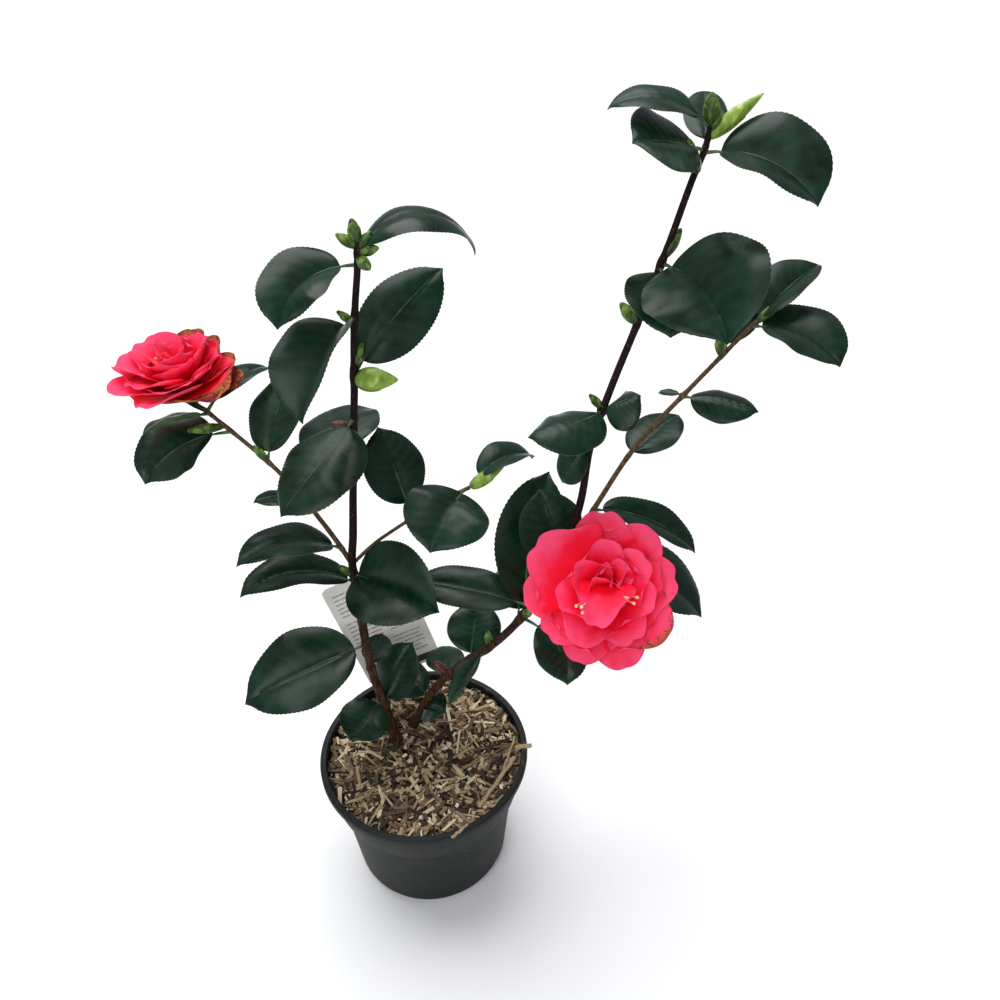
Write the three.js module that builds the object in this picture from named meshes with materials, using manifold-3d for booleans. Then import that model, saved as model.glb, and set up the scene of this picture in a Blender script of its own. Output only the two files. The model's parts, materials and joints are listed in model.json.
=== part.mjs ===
// A camellia shrub in a round nursery pot: two leaning stems, their side branches,
// broad oval leaves on short stalks, buds and two open blooms.
// Millimetres, +Z up. The origin is the centre of the pot's flat underside.
// +X is to the plant's right and +Y is away from the side the pot is usually seen from.
import * as THREE from 'three';
import Module from 'manifold-3d';

const wasm = await Module();
wasm.setup();
const { Manifold, Mesh } = wasm;

// ---- Driving sizes ---------------------------------------------------------------

const GAP = 0.3;                 // clearance kept wherever two nodes meet

const POT = {
  height: 110.6,
  rimRadius: 75,                 // outside of the turned-down lip
  lipHeight: 5,
  lipThickness: 1.3,
  bandTopRadius: 72,             // the plain band under the lip
  bandFootRadius: 67.8,
  bandHeight: 31,                // from the rim down to the step
  bodyTopRadius: 64.2,
  baseRadius: 56.6,
  cornerRadius: 9,
  wall: 1.6,
  drainSlots: 8,
};
const SOIL_TOP = 103;            // bark chippings come up to here

const LABEL = {
  width: 57,
  height: 107,
  thickness: 0.9,
  corner: [-34.5, 53, 126],        // lower left corner of the card
  turn: 9,                       // degrees the right side swings back
  lean: 13.5,                    // degrees the card leans to the left
  stakeWidth: 13,
  stakeLength: 44,
};

// Each stem is a smooth curve through a few points, with its thickness at both ends.
const STEMS = {
  left_stem: {
    path: [[-19, 15, 103], [-25, 19, 142], [-30, 21, 173], [-32, 23, 209], [-32, 25, 240],
      [-33, 26, 271], [-30, 28, 293], [-27, 30, 319], [-22, 33, 360], [-18, 36, 391],
      [-14, 40, 427], [-8, 44, 463], [-7, 45, 476]],
    footRadius: 3.3,
    tipRadius: 1.7,
  },
  left_side_branch: {
    path: [[-33, 26, 271], [-42, 31, 290], [-57, 37, 318], [-75, 46, 342], [-109, 65, 372]],
    footRadius: 1.7,
    tipRadius: 1.2,
  },
  middle_twig: {
    path: [[-33, 26, 271], [-19, 28, 283], [-6, 30, 291], [26, 33, 309], [45, 34, 316]],
    footRadius: 1.2,
    tipRadius: 1.0,
  },
  right_stem: {
    path: [[-7, 28, 103], [10, 20, 147], [27, 10, 180], [51, 2, 206], [70, -4, 234],
      [94, -3, 272], [109, 6, 315], [116, 14, 353], [129, 22, 388], [144, 30, 423],
      [159, 38, 460], [172, 46, 494], [178, 49, 508], [181, 51, 521]],
    footRadius: 3.0,
    tipRadius: 1.6,
  },
  right_side_branch: {
    path: [[94, -3, 272], [120, 8, 312], [146, 20, 345], [180, 32, 374], [215, 44, 402],
      [223, 46, 408]],
    footRadius: 1.7,
    tipRadius: 1.2,
  },
};
const ROOT_FLARE = 1.5;          // the stems swell by this factor where they leave the soil

// A spray is the end of a stem, above the height given, fused with its leaves and buds.
const SPRAYS = {
  left_crown: ['left_stem', 348],
  left_side_spray: ['left_side_branch', 335],
  middle_spray: ['middle_twig', 297],
  right_crown: ['right_stem', 497],
  right_side_spray: ['right_side_branch', 364],
};

// Leaves: [stem, height of the node on it, bearing, rise, length, width,
//          droop, fold, roll, turn, stalk].
// Bearing is the compass direction of the leaf seen from above, 0 along +X and 90 along +Y,
// and rise its slope upwards, both in degrees. Droop is how far it bends down from base to
// tip, turn how far it swings sideways, fold how far the halves rise from the midrib
// (below 0 they hang), and roll tips its right half down.
const LEAVES = {
  // the crown of the left stem
  crown_a: ['left_stem', 462, 221, -22, 52, 41, 45, 18, -12, 60, 9],
  crown_b: ['left_stem', 468, 15, -15, 80, 34, 120, -8, 3, 0, 6],
  crown_c: ['left_stem', 401, 34, 31, 72, 40, 20, -6, 34, 0, 9],
  crown_d: ['left_stem', 434, 236, -34, 62, 52, 50, 34, 12, 0, 9],
  crown_e: ['left_stem', 351, 105, -3, 53, 52, 10, 0, -10, 0, 7],
  crown_f: ['left_stem', 374, 225, -24, 66, 50, 30, -10, -4, -30, 8],
  // the left side branch
  branch_a: ['left_side_branch', 342, 64, 38, 54, 36, 15, 5, -10, -20, 6],
  branch_b: ['left_side_branch', 359, 205, -21, 51, 45, 25, 8, -15, 60, 12],
  branch_c: ['left_side_branch', 369, 209, 2, 35, 30, 20, 12, 25, 0, 6],
  branch_d: ['left_side_branch', 370, 45, 2, 46, 22, 60, 5, 0, 0, 9],
  left_leaf_1: ['left_side_branch', 282, 201, 10, 64, 34, 55, 8, 0, 20, 7],
  left_leaf_2: ['left_side_branch', 320, 195, 10, 25, 18, 10, 0, 0, 0, 4],
  // the left stem
  left_leaf_3: ['left_stem', 255, 195, 10, 73, 34, 60, 8, 0, 30, 6],
  left_leaf_4: ['left_stem', 263, 317, 2, 65, 62, 15, 30, 34, 0, 4],
  left_leaf_5: ['left_stem', 201, 194, -14, 81, 60, 15, 10, -15, 0, 8],
  left_leaf_6: ['left_stem', 179, 70, 15, 24, 22, 0, 0, 0, 0, 4],
  left_leaf_7: ['left_stem', 147, 230, -5, 34, 36, 15, 0, -15, 0, 5],
  left_leaf_8: ['left_stem', 142, 40, 50, 44, 38, 10, 5, 0, 0, 6],
  // the middle twig
  middle_a: ['middle_twig', 299, 114, 51, 51, 40, 10, 0, 0, 0, 10],
  middle_b: ['middle_twig', 315, 237, -17, 47, 54, 40, 6, -14, 0, 5],
  middle_c: ['middle_twig', 316, 28, -6, 47, 26, 80, 15, 0, 0, 10],
  // the foot of the right stem
  right_leaf_2: ['right_stem', 142, 136, 14, 42, 34, 10, 0, 0, 0, 4],
  right_leaf_3: ['right_stem', 168, 84, -12, 36, 28, 10, 0, 0, 0, 4],
  right_leaf_4: ['right_stem', 128, 304, 32, 28, 24, 20, 0, 25, 0, 4],
  right_leaf_5: ['right_stem', 202, 215, -40, 40, 30, 20, 10, 35, 0, 5],
  right_leaf_6: ['right_stem', 192, 74, 25, 39, 38, 10, 0, 0, 0, 4],
  // behind and beside the right bloom
  right_leaf_7: ['right_stem', 245, 158, 3, 72, 34, 20, 5, -10, 0, 10],
  right_leaf_8: ['right_stem', 233, 80, 20, 36, 38, 10, 0, 0, 0, 8],
  right_leaf_9: ['right_stem', 240, 66, 45, 88, 48, 10, 10, 20, -30, 6],
  right_leaf_10: ['right_stem', 275, 106, 56, 44, 44, 10, 5, 0, 0, 6],
  right_leaf_11: ['right_stem', 236, 289, -28, 44, 36, 30, 5, 0, -60, 12],
  right_leaf_12: ['right_side_branch', 309, 337, -21, 66, 31, 32, 8, 0, -40, 6],
  right_leaf_13: ['right_side_branch', 288, 341, -31, 98, 55, 20, 5, 0, -50, 6],
  // half way up the right stem
  right_leaf_14: ['right_stem', 357, 182, -59, 26, 26, 10, 0, -20, 0, 9],
  right_leaf_15: ['right_stem', 373, 199, -1, 49, 38, 20, -20, -8, -50, 4],
  right_leaf_16: ['right_stem', 373, 343, 29, 23, 36, 30, -30, 14, 50, 3],
  right_leaf_17: ['right_stem', 453, 282, -16, 64, 73, 30, 20, 24, -35, 7],
  right_leaf_18: ['right_stem', 451, 265, -32, 41, 50, 40, 5, -10, 0, 6],
  right_leaf_1: ['right_side_branch', 339, 36, 9, 46, 32, 10, 0, 0, 0, 5],
  // the right side branch
  side_a: ['right_side_branch', 370, 335, -4, 41, 28, 15, -20, 15, 0, 5],
  side_b: ['right_side_branch', 371, 150, -5, 13, 8, 10, 0, 0, 0, 3],
  side_c: ['right_side_branch', 392, 69, 34, 66, 42, 10, 0, 0, 0, 6],
  side_d: ['right_side_branch', 406, 26, 25, 52, 34, 25, 24, 0, 0, 6],
  side_e: ['right_side_branch', 405, 318, -14, 53, 48, 40, 14, 8, -35, 6],
  // the crown of the right stem
  top_a: ['right_stem', 519, 170, 6, 50, 27, 60, 5, -12, 0, 9],
  top_b: ['right_stem', 508, 196, 12, 39, 54, 20, 0, -22, 0, 7],
  top_c: ['right_stem', 510, 74, 18, 47, 24, 10, 0, 0, 0, 6],
  top_d: ['right_stem', 507, 319, -19, 61, 56, 55, 20, 16, -15, 9],
};
const LEAF_THICKNESS = 1.0;
const STALK_RADIUS = 1.0;

// Buds: [stem, height, bearing, rise, length, width].
const BUDS = [
  ['left_stem', 476, 170, 35, 16, 7],
  ['left_stem', 476, 110, 72, 17, 8.5],
  ['left_stem', 475, 12, 45, 14, 6],
  ['left_stem', 473, 350, 15, 13, 6],
  ['left_stem', 466, 300, -15, 12, 7],
  ['left_stem', 430, 180, 45, 12, 4.5],
  ['left_stem', 404, 20, 65, 16, 4.5],
  ['left_stem', 398, 350, -4, 28, 15],
  ['left_stem', 366, 168, 20, 14, 8],
  ['left_stem', 261, 180, 50, 14, 5],
  ['left_stem', 222, 5, 60, 14, 5],
  ['left_side_branch', 342, 150, 50, 13, 5],
  ['left_side_branch', 362, 184, 0, 22, 6],
  ['middle_twig', 316, 15, 22, 26, 8],
  ['right_stem', 172, 150, 45, 14, 6],
  ['right_stem', 205, 90, 60, 12, 5],
  ['right_stem', 238, 300, 50, 11, 6],
  ['right_stem', 374, 170, 50, 13, 5],
  ['right_stem', 455, 28, 50, 19, 7],
  ['right_stem', 421, 160, 50, 16, 8],
  ['right_stem', 519, 90, 78, 17, 9.5],
  ['right_stem', 514, 12, 32, 36, 8],
  ['right_stem', 516, 20, 60, 13, 6],
  ['right_stem', 499, 172, 70, 17, 6.5],
  ['right_side_branch', 390, 100, 70, 14, 7],
  ['right_side_branch', 407, 18, 28, 19, 6.5],
];

// Blooms: centre of the calyx, the way the bloom looks, its overall diameter, and the
// point of the stem that its stalk comes from. A ring of petals is [petals, reach as a
// part of the radius, rise above the bloom's own plane in degrees].
const BLOOMS = {
  right_bloom: {
    calyx: [117, -23, 271],
    looks: [-0.18, -0.72, 0.67],
    diameter: 90,
    stalkFrom: [100, -1, 290],
  },
  left_bloom: {
    calyx: [-114, 67, 379],
    looks: [-0.2, 0.05, 0.97],
    diameter: 82,
    stalkFrom: [-110, 65.5, 373.5],
  },
};
const PETAL_RINGS = [
  [6, 1.0, 16],
  [6, 0.86, 36],
  [5, 0.66, 58],
];
const PETAL_THICKNESS = 1.2;

// ---- Small tools -----------------------------------------------------------------

const rad = THREE.MathUtils.degToRad;
const vec = (p) => new THREE.Vector3(...p);
const UP = new THREE.Vector3(0, 0, 1);

/** A closed solid from points and triangles, turned so that it faces out. */
function solidFrom(points, triangles) {
  let volume = 0;
  for (const [a, b, c] of triangles) {
    volume += points[a].dot(points[b].clone().cross(points[c]));
  }
  const outward = volume > 0 ? triangles : triangles.map(([a, b, c]) => [a, c, b]);
  return new Manifold(new Mesh({
    numProp: 3,
    vertProperties: Float32Array.from(points.flatMap((p) => [p.x, p.y, p.z])),
    triVerts: Uint32Array.from(outward.flat()),
  }));
}

/** A tube through rings of points, each ring the same length, capped at both ends. */
function skinRings(rings) {
  const sides = rings[0].length;
  const points = rings.flat();
  const triangles = [];
  for (let r = 0; r + 1 < rings.length; r += 1) {
    for (let i = 0; i < sides; i += 1) {
      const a = r * sides + i;
      const b = r * sides + ((i + 1) % sides);
      triangles.push([a, b, b + sides], [a, b + sides, a + sides]);
    }
  }
  const last = (rings.length - 1) * sides;
  for (let i = 1; i + 1 < sides; i += 1) {
    triangles.push([0, i + 1, i], [last, last + i, last + i + 1]);
  }
  return solidFrom(points, triangles);
}

/**
 * A slab on both sides of a grid of points. Each row holds its points, the normal at each
 * and its thickness. A ring grid joins its last column to its first.
 */
function slab(rows, ring = false) {
  const columns = rows[0].line.length;
  const size = rows.length * columns;
  const points = [];
  for (const side of [0.5, -0.5]) {
    for (const { line, normals, thickness } of rows) {
      line.forEach((p, c) => {
        points.push(p.clone().addScaledVector(normals[c], side * thickness));
      });
    }
  }
  const top = (r, c) => r * columns + (c % columns);
  const under = (r, c) => size + top(r, c);
  const triangles = [];
  const quad = (a, b, c, d) => triangles.push([a, b, c], [a, c, d]);
  const strips = ring ? columns : columns - 1;
  const last = rows.length - 1;
  for (let c = 0; c < strips; c += 1) {
    for (let r = 0; r < last; r += 1) {
      quad(top(r, c), top(r, c + 1), top(r + 1, c + 1), top(r + 1, c));
      quad(under(r, c), under(r + 1, c), under(r + 1, c + 1), under(r, c + 1));
    }
    quad(top(0, c), under(0, c), under(0, c + 1), top(0, c + 1));
    quad(top(last, c), top(last, c + 1), under(last, c + 1), under(last, c));
  }
  if (!ring) {
    for (let r = 0; r < last; r += 1) {
      quad(top(r, 0), top(r + 1, 0), under(r + 1, 0), under(r, 0));
      quad(top(r, strips), under(r, strips), under(r + 1, strips), top(r + 1, strips));
    }
  }
  return solidFrom(points, triangles);
}

/** The way that a bearing and a rise point. */
function heading(bearing, rise) {
  const b = rad(bearing);
  const e = rad(rise);
  return new THREE.Vector3(Math.cos(b) * Math.cos(e), Math.sin(b) * Math.cos(e), Math.sin(e));
}

/** Joins solids into one and keeps the largest piece if a cut has left crumbs. */
function fuse(solids) {
  const whole = Manifold.union(solids);
  const pieces = whole.decompose();
  return pieces.reduce((best, piece) => (piece.volume() > best.volume() ? piece : best));
}

// ---- Stems -----------------------------------------------------------------------

const curves = {};
for (const [name, stem] of Object.entries(STEMS)) {
  curves[name] = new THREE.CatmullRomCurve3(stem.path.map(vec), false, 'catmullrom', 0.5);
}

/** How far along a stem's curve, from 0 to 1, it reaches a height. */
function placeAt(stem, height) {
  let low = 0;
  let high = 1;
  for (let i = 0; i < 30; i += 1) {
    const middle = (low + high) / 2;
    if (curves[stem].getPoint(middle).z < height) low = middle;
    else high = middle;
  }
  return (low + high) / 2;
}

function stemRadius(stem, t) {
  const { path, footRadius, tipRadius } = STEMS[stem];
  const taper = footRadius + (tipRadius - footRadius) * t;
  const aboveSoil = curves[stem].getPoint(t).z - path[0][2];
  const fromSoil = path[0][2] === SOIL_TOP;
  const flare = fromSoil ? 1 + (ROOT_FLARE - 1) * Math.exp(-aboveSoil / 9) : 1;
  return taper * flare;
}

/** A tapering limb along part of a stem's curve, optionally fattened for a clearance. */
function limb(stem, from, to, extra = 0) {
  const sides = 8;
  const steps = Math.max(2, Math.round((to - from) * (STEMS[stem].path.length - 1) * 2));
  const rings = [];
  let side = new THREE.Vector3(1, 0, 0);
  for (let i = 0; i <= steps; i += 1) {
    const t = from + ((to - from) * i) / steps;
    const centre = curves[stem].getPoint(t);
    const flatFoot = i === 0 && Math.abs(centre.z - SOIL_TOP) < 1;
    const along = flatFoot ? UP.clone() : curves[stem].getTangent(t);
    side = side.clone().addScaledVector(along, -side.dot(along)).normalize();
    const across = along.clone().cross(side);
    const r = stemRadius(stem, t) + extra;
    rings.push(Array.from({ length: sides }, (_, k) => {
      const a = (2 * Math.PI * k) / sides;
      return centre.clone()
        .addScaledVector(side, r * Math.cos(a))
        .addScaledVector(across, r * Math.sin(a));
    }));
  }
  return skinRings(rings);
}

// ---- Leaves and buds -------------------------------------------------------------

/** Width of a leaf, from 0 to 1, at s along it: broadest near the middle, short point. */
function leafOutline(s) {
  const b = Math.min(s / 0.96, 1);
  const body = (b ** 0.55 * (1 - b) ** 0.62) / (0.47 ** 0.55 * 0.53 ** 0.62);
  const point = s > 0.8 ? 0.13 * Math.min((1 - s) / 0.14, 1) : 0;
  return Math.max(body, point);
}

/** One leaf with its stalk, as a solid that starts on the axis of its stem. */
function leaf(row) {
  const [stem, height, bearing, rise, length, width, droop, fold, roll, turn, stalk] = row;
  const steps = 7;
  const towards = (s) => heading(bearing + turn * (s - 0.5), rise + droop * (0.5 - s));
  const root = curves[stem].getPoint(placeAt(stem, height));
  // A row of three points across the leaf: its left edge, its midrib and its right edge.
  const across = (middle, s, half, thickness) => {
    const along = towards(s);
    const level = along.clone().cross(UP).normalize();
    const above = level.clone().cross(along);
    const right = level.clone().multiplyScalar(Math.cos(rad(roll)))
      .addScaledVector(above, -Math.sin(rad(roll)));
    const normal = right.clone().cross(along);
    const line = [-1, 0, 1].map((v) => middle.clone()
      .addScaledVector(right, v * half * Math.cos(rad(fold)))
      .addScaledVector(normal, Math.abs(v) * half * Math.sin(rad(fold))));
    return { line, normals: [normal, normal, normal], thickness };
  };
  const rows = [across(root, 0, STALK_RADIUS, 1.8 * STALK_RADIUS)];
  let middle = root.clone().addScaledVector(towards(-0.05), stalk);
  for (let i = 0; i <= steps; i += 1) {
    const s = i / steps;
    const half = Math.max((leafOutline(s) * width) / 2, 0.7);
    rows.push(across(middle, s, half, LEAF_THICKNESS));
    middle = middle.clone().addScaledVector(towards(s + 0.5 / steps), length / steps);
  }
  return slab(rows);
}

/** A thin rod through a few points. */
function rod(points, radii, sides) {
  const rings = points.map((p, i) => {
    const along = points[Math.min(i + 1, points.length - 1)].clone()
      .sub(points[Math.max(i - 1, 0)]).normalize();
    const side = new THREE.Vector3(0.31, 0.93, 0.2).cross(along).normalize();
    const across = along.clone().cross(side);
    return Array.from({ length: sides }, (_, k) => {
      const a = (2 * Math.PI * k) / sides;
      return p.clone().addScaledVector(side, radii[i] * Math.cos(a))
        .addScaledVector(across, radii[i] * Math.sin(a));
    });
  });
  return skinRings(rings);
}

/** A pointed bud that starts on the axis of its stem. */
function bud([stem, height, bearing, rise, length, width]) {
  const root = curves[stem].getPoint(placeAt(stem, height));
  const along = heading(bearing, rise);
  const swell = [[0, 0.3], [0.3, 0.78], [0.55, 1], [0.8, 0.66], [1, 0.1]];
  const points = swell.map(([s]) => root.clone().addScaledVector(along, s * length));
  return rod(points, swell.map(([, w]) => (w * width) / 2), 6);
}

// ---- Blooms ----------------------------------------------------------------------

/** A ring of petals as one scalloped cup, with a lobe for each petal. */
function petalCup({ up, side, across }, base, [count, reach, rise], phase) {
  const columns = count * 4;
  const rows = [0.14, 0.5, 0.8, 1].map((s) => {
    const line = [];
    const normals = [];
    for (let c = 0; c < columns; c += 1) {
      const angle = (2 * Math.PI * c) / columns + phase;
      const lobe = Math.abs(Math.cos((count * (angle - phase)) / 2)) ** 0.6;
      const out = side.clone().multiplyScalar(Math.cos(angle))
        .addScaledVector(across, Math.sin(angle));
      const r = reach * s * (1 - 0.2 * s * s * (1 - lobe));
      line.push(base.clone()
        .addScaledVector(out, r * Math.cos(rad(rise)))
        .addScaledVector(up, 3 + reach * Math.sin(rad(rise)) * s ** 0.7 - 2 * s * lobe));
      normals.push(up.clone().multiplyScalar(Math.cos(rad(rise)))
        .addScaledVector(out, -Math.sin(rad(rise))));
    }
    return { line, normals, thickness: PETAL_THICKNESS };
  });
  return slab(rows, true);
}

/** A whole bloom: calyx and stalk, a heart, and cups of petals round it. */
function bloom({ calyx, looks, diameter, stalkFrom }) {
  const base = vec(calyx);
  const up = vec(looks).normalize();
  const side = new THREE.Vector3(1, 0, 0).addScaledVector(up, -up.x).normalize();
  const frame = { up, side, across: up.clone().cross(side) };
  const radius = diameter / 2;
  const onAxis = (distance) => base.clone().addScaledVector(up, distance);
  const stalk = rod([vec(stalkFrom), onAxis(-6), onAxis(-2), onAxis(5)], [1.5, 2, 6, 7], 8);
  const heart = rod([onAxis(1), onAxis(radius * 0.35), onAxis(radius * 0.68)],
    [7.6, radius * 0.26, radius * 0.1], 8);
  const cups = PETAL_RINGS.map(([count, reach, rise], ring) => (
    petalCup(frame, base, [count, reach * radius, rise], 0.4 * ring)));
  return fuse([stalk, heart, ...cups]);
}

// ---- Pot, soil and label ---------------------------------------------------------

/** The pot's radius outside the wall at a height, below the lip. */
function potRadius(z) {
  const step = POT.height - POT.bandHeight;
  if (z < step) {
    return POT.baseRadius + ((POT.bodyTopRadius - POT.baseRadius) * z) / step;
  }
  const up = (z - step) / (POT.bandHeight - POT.lipHeight);
  return POT.bandFootRadius + (POT.bandTopRadius - POT.bandFootRadius) * Math.min(up, 1);
}

/** The rounded edge between the base and the wall, moved inwards by an inset. */
function baseCorner(inset) {
  const { cornerRadius } = POT;
  return [0, 30, 60, 90].map((degrees) => {
    const r = cornerRadius - inset;
    return [potRadius(cornerRadius) - cornerRadius + r * Math.sin(rad(degrees)),
      cornerRadius - r * Math.cos(rad(degrees))];
  });
}

/** Half the section of the pot's hollow, moved inwards from the outside by an inset. */
function hollow(inset, top) {
  const step = POT.height - POT.bandHeight;
  return [
    [0, inset],
    ...baseCorner(inset),
    [POT.bodyTopRadius - inset, step - 2],
    [potRadius(step + 1) - inset, step + 1],
    [potRadius(top) - inset, Math.min(top, POT.height - POT.lipHeight)],
    [potRadius(top) - inset, top],
  ];
}

function pot() {
  const { height, rimRadius, lipHeight, lipThickness, bandHeight, wall } = POT;
  const step = height - bandHeight;
  const lipFoot = height - lipHeight;
  const outside = [
    [0, 0],
    ...baseCorner(0),
    [POT.bodyTopRadius, step - 3],
    [POT.bandFootRadius, step],
    [POT.bandTopRadius, lipFoot],
    [POT.bandTopRadius, height - lipThickness],
    [rimRadius - lipThickness, height - lipThickness],
    [rimRadius - lipThickness, lipFoot],
    [rimRadius, lipFoot],
    [rimRadius, height - 0.8],
    [rimRadius - 0.8, height],
  ];
  let body = Manifold.revolve([[...outside, ...hollow(wall, height).reverse()]], 40);
  // Slots through the rounded edge of the base let the water out.
  for (let k = 0; k < POT.drainSlots; k += 1) {
    const slot = Manifold.cube([12, 9, 5], true)
      .translate([potRadius(0) - 3, 0, 3])
      .rotate([0, 0, (360 * (k + 0.5)) / POT.drainSlots]);
    body = body.subtract(slot);
  }
  return body;
}

/** Bark chippings and compost, clear of the pot's wall and with room for the stake. */
function soil(stakeRoom) {
  const profile = [...hollow(POT.wall + GAP, SOIL_TOP), [0, SOIL_TOP]];
  return Manifold.revolve([profile], 40).subtract(stakeRoom);
}

/** The card and its pointed stake. Extra widens them, to cut room for the stake. */
function label(extra = 0) {
  const { width, height, thickness, stakeWidth, stakeLength } = LABEL;
  const t = thickness + 2 * extra;
  const s = stakeWidth / 2 + extra;
  const card = Manifold.cube([width, t, height]).translate([0, -extra, 0]);
  const stake = Manifold.extrude([[[-s, 4], [-s, 14 - stakeLength],
    [0, -stakeLength - extra], [s, 14 - stakeLength], [s, 4]]], t)
    .rotate([90, 0, 0]).translate([width / 2, t - extra, 0]);
  return Manifold.union([card, stake])
    .rotate([0, -LABEL.lean, LABEL.turn])
    .translate(LABEL.corner);
}

// ---- The whole plant -------------------------------------------------------------

const BARK = { color: 0x4a2c1e, roughness: 0.75, metalness: 0 };
const LEAF = { color: 0x1f3a2c, roughness: 0.35, metalness: 0 };
const PETAL = { color: 0xf0314f, roughness: 0.55, metalness: 0 };

const group = new THREE.Group();
group.name = 'camellia_shrub';

function add(name, solid, look) {
  const { vertProperties, numProp, triVerts } = solid.getMesh();
  const positions = new Float32Array((vertProperties.length / numProp) * 3);
  for (let i = 0; i < positions.length / 3; i += 1) {
    positions.set(vertProperties.subarray(i * numProp, i * numProp + 3), i * 3);
  }
  const geometry = new THREE.BufferGeometry();
  geometry.setAttribute('position', new THREE.BufferAttribute(positions, 3));
  geometry.setIndex(new THREE.BufferAttribute(new Uint32Array(triVerts), 1));
  geometry.computeVertexNormals();
  const mesh = new THREE.Mesh(geometry, new THREE.MeshStandardMaterial(look));
  mesh.name = name;
  group.add(mesh);
}

add('pot', pot(), { color: 0x33393b, roughness: 0.7, metalness: 0 });
add('bark_soil', soil(label(GAP)), { color: 0x8f7958, roughness: 0.95, metalness: 0 });
add('care_label', label(), { color: 0xc9c3bc, roughness: 0.6, metalness: 0 });

// Where each limb stops, which is where its spray starts.
const limbEnds = {};
for (const [stem, height] of Object.values(SPRAYS)) limbEnds[stem] = height;

// The room that a limb and everything fused to it takes, with the clearance all round.
const room = {};
const limbs = {};
for (const stem of Object.keys(STEMS)) {
  const end = placeAt(stem, limbEnds[stem]);
  const start = STEMS[stem].path[0][2] === SOIL_TOP ? placeAt(stem, SOIL_TOP + GAP) : 0;
  limbs[stem] = limb(stem, start, end);
  room[stem] = limb(stem, start, end, GAP);
}
const bearers = {
  left_side_branch: 'left_stem',
  middle_twig: 'left_stem',
  right_side_branch: 'right_stem',
};
const bearerRoom = { ...room };
for (const [branch, bearer] of Object.entries(bearers)) {
  limbs[branch] = fuse([limbs[branch].subtract(bearerRoom[bearer])]);
}
limbs.middle_twig = fuse([limbs.middle_twig.subtract(room.left_side_branch)]);

// Buds below a spray are fused to the limb itself.
const onLimb = ([stem, height]) => height < limbEnds[stem];
for (const stem of Object.keys(STEMS)) {
  const buds = BUDS.filter((row) => row[0] === stem && onLimb(row)).map(bud);
  add(stem, fuse([limbs[stem], ...buds]), BARK);
}

// Each spray: the stem's end, its leaves and its buds in one piece.
for (const [name, [stem, height]] of Object.entries(SPRAYS)) {
  const from = placeAt(stem, height + GAP);
  const leaves = Object.values(LEAVES).filter((row) => row[0] === stem && !onLimb(row));
  const buds = BUDS.filter((row) => row[0] === stem && !onLimb(row));
  add(name, fuse([limb(stem, from, 1), ...leaves.map(leaf), ...buds.map(bud)]), LEAF);
}

// Leaves that grow straight from a whole limb are nodes of their own.
for (const [name, row] of Object.entries(LEAVES)) {
  if (onLimb(row)) add(name, fuse([leaf(row).subtract(room[row[0]])]), LEAF);
}

// The blooms, each clear of the stem that carries it.
for (const [name, row] of Object.entries(BLOOMS)) {
  const carriers = Object.values(room);
  add(name, fuse([bloom(row).subtract(Manifold.union(carriers))]), PETAL);
}

export default group;
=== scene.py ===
# %% [markdown]
# # A camellia shrub in its nursery pot
# Two leaning stems rise from a round plastic pot filled with wood chippings. They carry
# broad glossy leaves, pointed buds and two red blooms, one of them past its best.
# The solid model gives every place and size. This lesson dresses it, piece by piece.

import json
import math

import bmesh
import bpy
import numpy as np
from mathutils import Matrix, Vector, noise

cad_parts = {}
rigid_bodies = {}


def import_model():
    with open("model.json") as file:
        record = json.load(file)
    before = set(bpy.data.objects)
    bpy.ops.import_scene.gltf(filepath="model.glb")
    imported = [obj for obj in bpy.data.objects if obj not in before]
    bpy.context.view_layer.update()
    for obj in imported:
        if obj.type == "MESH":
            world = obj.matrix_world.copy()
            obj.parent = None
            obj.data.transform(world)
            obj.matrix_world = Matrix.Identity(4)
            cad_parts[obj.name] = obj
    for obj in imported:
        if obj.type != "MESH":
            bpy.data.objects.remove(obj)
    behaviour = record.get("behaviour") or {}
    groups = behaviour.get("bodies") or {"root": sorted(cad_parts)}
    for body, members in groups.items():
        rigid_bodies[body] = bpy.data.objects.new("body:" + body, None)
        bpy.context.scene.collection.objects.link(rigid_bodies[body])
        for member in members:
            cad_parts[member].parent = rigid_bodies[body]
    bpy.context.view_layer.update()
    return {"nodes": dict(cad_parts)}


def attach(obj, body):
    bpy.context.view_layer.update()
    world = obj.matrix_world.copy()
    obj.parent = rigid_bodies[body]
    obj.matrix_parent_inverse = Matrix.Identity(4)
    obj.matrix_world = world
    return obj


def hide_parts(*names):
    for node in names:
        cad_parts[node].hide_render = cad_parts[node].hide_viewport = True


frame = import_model()
print("solid nodes:", len(frame["nodes"]))

# %% [markdown]
# ## Units and directions
# Blender works in metres, but a plant is easier to think of in millimetres, so every size
# below is in millimetres and turns into metres when its mesh is made. A bearing is seen
# from above, 0 to the right and 90 to the back, and a rise is a slope upwards.

# %% Units and directions
MM = 0.001
UP = np.array([0.0, 0.0, 1.0])
dice = np.random.default_rng(20)          # one fixed seed, so each run is the same


def unit(vectors):
    """Vectors made one long."""
    return vectors / np.linalg.norm(vectors, axis=-1, keepdims=True)


def heading(bearing, rise):
    """The way that a bearing and a rise point, both in degrees."""
    b, e = np.radians(bearing), np.radians(rise)
    parts = (np.cos(b) * np.cos(e), np.sin(b) * np.cos(e), np.sin(e) + 0 * b)
    return np.stack(np.broadcast_arrays(*parts), axis=-1)


def smooth_step(low, high, x):
    """0 below low, 1 above high, and a soft rise between them."""
    t = np.clip((x - low) / (high - low), 0, 1)
    return t * t * (3 - 2 * t)


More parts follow.
